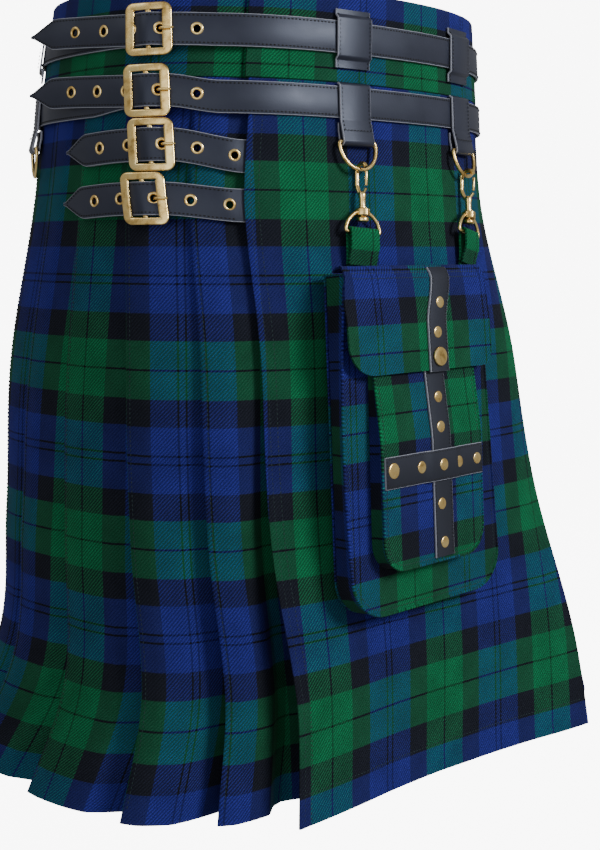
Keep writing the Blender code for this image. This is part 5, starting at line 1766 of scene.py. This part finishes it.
places = [(u, w, POUCH_CLOTH) for u, w in flared(outline, spread_front)]
cloth_rows.append(sewn_on_pouch(places, SEAM_STITCH))
inset = 0.0035
outline = corner_outline(POCKET_LEFT + inset, POCKET_RIGHT - inset, POCKET_TOP - 0.020, POCKET_BOTTOM + inset,
                         POCKET_RADIUS - inset)
cloth_rows.append(sewn_on_pouch([(u, w, FACE + pocket_depth(w)) for u, w in outline], SEAM_STITCH))
sewing("cloth_stitches", cloth_rows, CLOTH_THREAD)

# ---- floor, light and camera ----
FLOOR_HEIGHT = HEM - 0.36
FLOOR_RADIUS = 2.6
FLOOR_BEND = 1.4
WALL_TOP = 5.0
stations = [(FLOOR_HEIGHT, 0.001), (FLOOR_HEIGHT, FLOOR_RADIUS)]
for w in [math.radians(90.0 * k / 12) for k in range(1, 13)]:
    rise = FLOOR_BEND * (1.0 - math.cos(w))
    stations.append((FLOOR_HEIGHT + rise, FLOOR_RADIUS + FLOOR_BEND * math.sin(w)))
stations.append((WALL_TOP, FLOOR_RADIUS + FLOOR_BEND))
verts, faces = turned((0.0, 0.0, 0.0), (0.0, 0.0, 1.0), stations, 48)
floor_mesh = bpy.data.meshes.new("studio_floor")
floor_mesh.from_pydata([tuple(v) for v in verts], [], faces)
glow = {"Emission Color": (1.0, 1.0, 1.0, 1.0), "Emission Strength": 8.0}
floor_mesh.materials.append(plain("pale_paper", (0.90, 0.90, 0.91), 0.9, **glow))
floor_mesh.shade_smooth()
floor = placed("studio_floor", floor_mesh)
floor.visible_diffuse = False
floor.visible_glossy = False


def aim(thing, place, direction):
    """Puts a light or camera at a place, looking along a direction."""
    thing.location = place
    thing.rotation_euler = Vector(direction).to_track_quat("-Z", "Y").to_euler()


AIMED_AT = (0.0, -0.05, -0.28)
# name, place, size and power
LIGHTS = (
    ("key_light", (0.55, -2.10, 0.75), 0.8, 50.0),
    ("fill_light", (-1.75, -1.15, 0.10), 2.0, 12.0),
    ("rim_light", (-1.9, 0.5, 1.5), 1.2, 5.0),
    ("back_light", (1.3, 1.9, 0.6), 1.2, 24.0),
)
for name, place, size, power in LIGHTS:
    data = bpy.data.lights.new(name, "AREA")
    data.shape = "DISK"
    data.size = size
    data.energy = power
    aim(placed(name, data), place, Vector(AIMED_AT) - Vector(place))

world = bpy.data.worlds.new("studio")
world.use_nodes = True
world.node_tree.nodes["Background"].inputs[0].default_value = (1.0, 1.0, 1.0, 1.0)
world.node_tree.nodes["Background"].inputs[1].default_value = 0.36
bpy.context.scene.world = world

SENSOR = 36.0
# the lens and the picture's longer side, in pixels
FOCAL_LENGTH = 1325.5
PICTURE_HEIGHT = 850.0
camera_data = bpy.data.cameras.new("camera")
camera_data.sensor_fit = "AUTO"
camera_data.sensor_width = SENSOR
camera_data.lens = FOCAL_LENGTH / PICTURE_HEIGHT * SENSOR
camera_data.clip_start = 0.05
camera_data.clip_end = 30.0
camera = placed("camera", camera_data)
aim(camera, (-0.7596, -0.9016, -0.1593), (0.6516, 0.7470, -0.1318))
bpy.context.scene.camera = camera
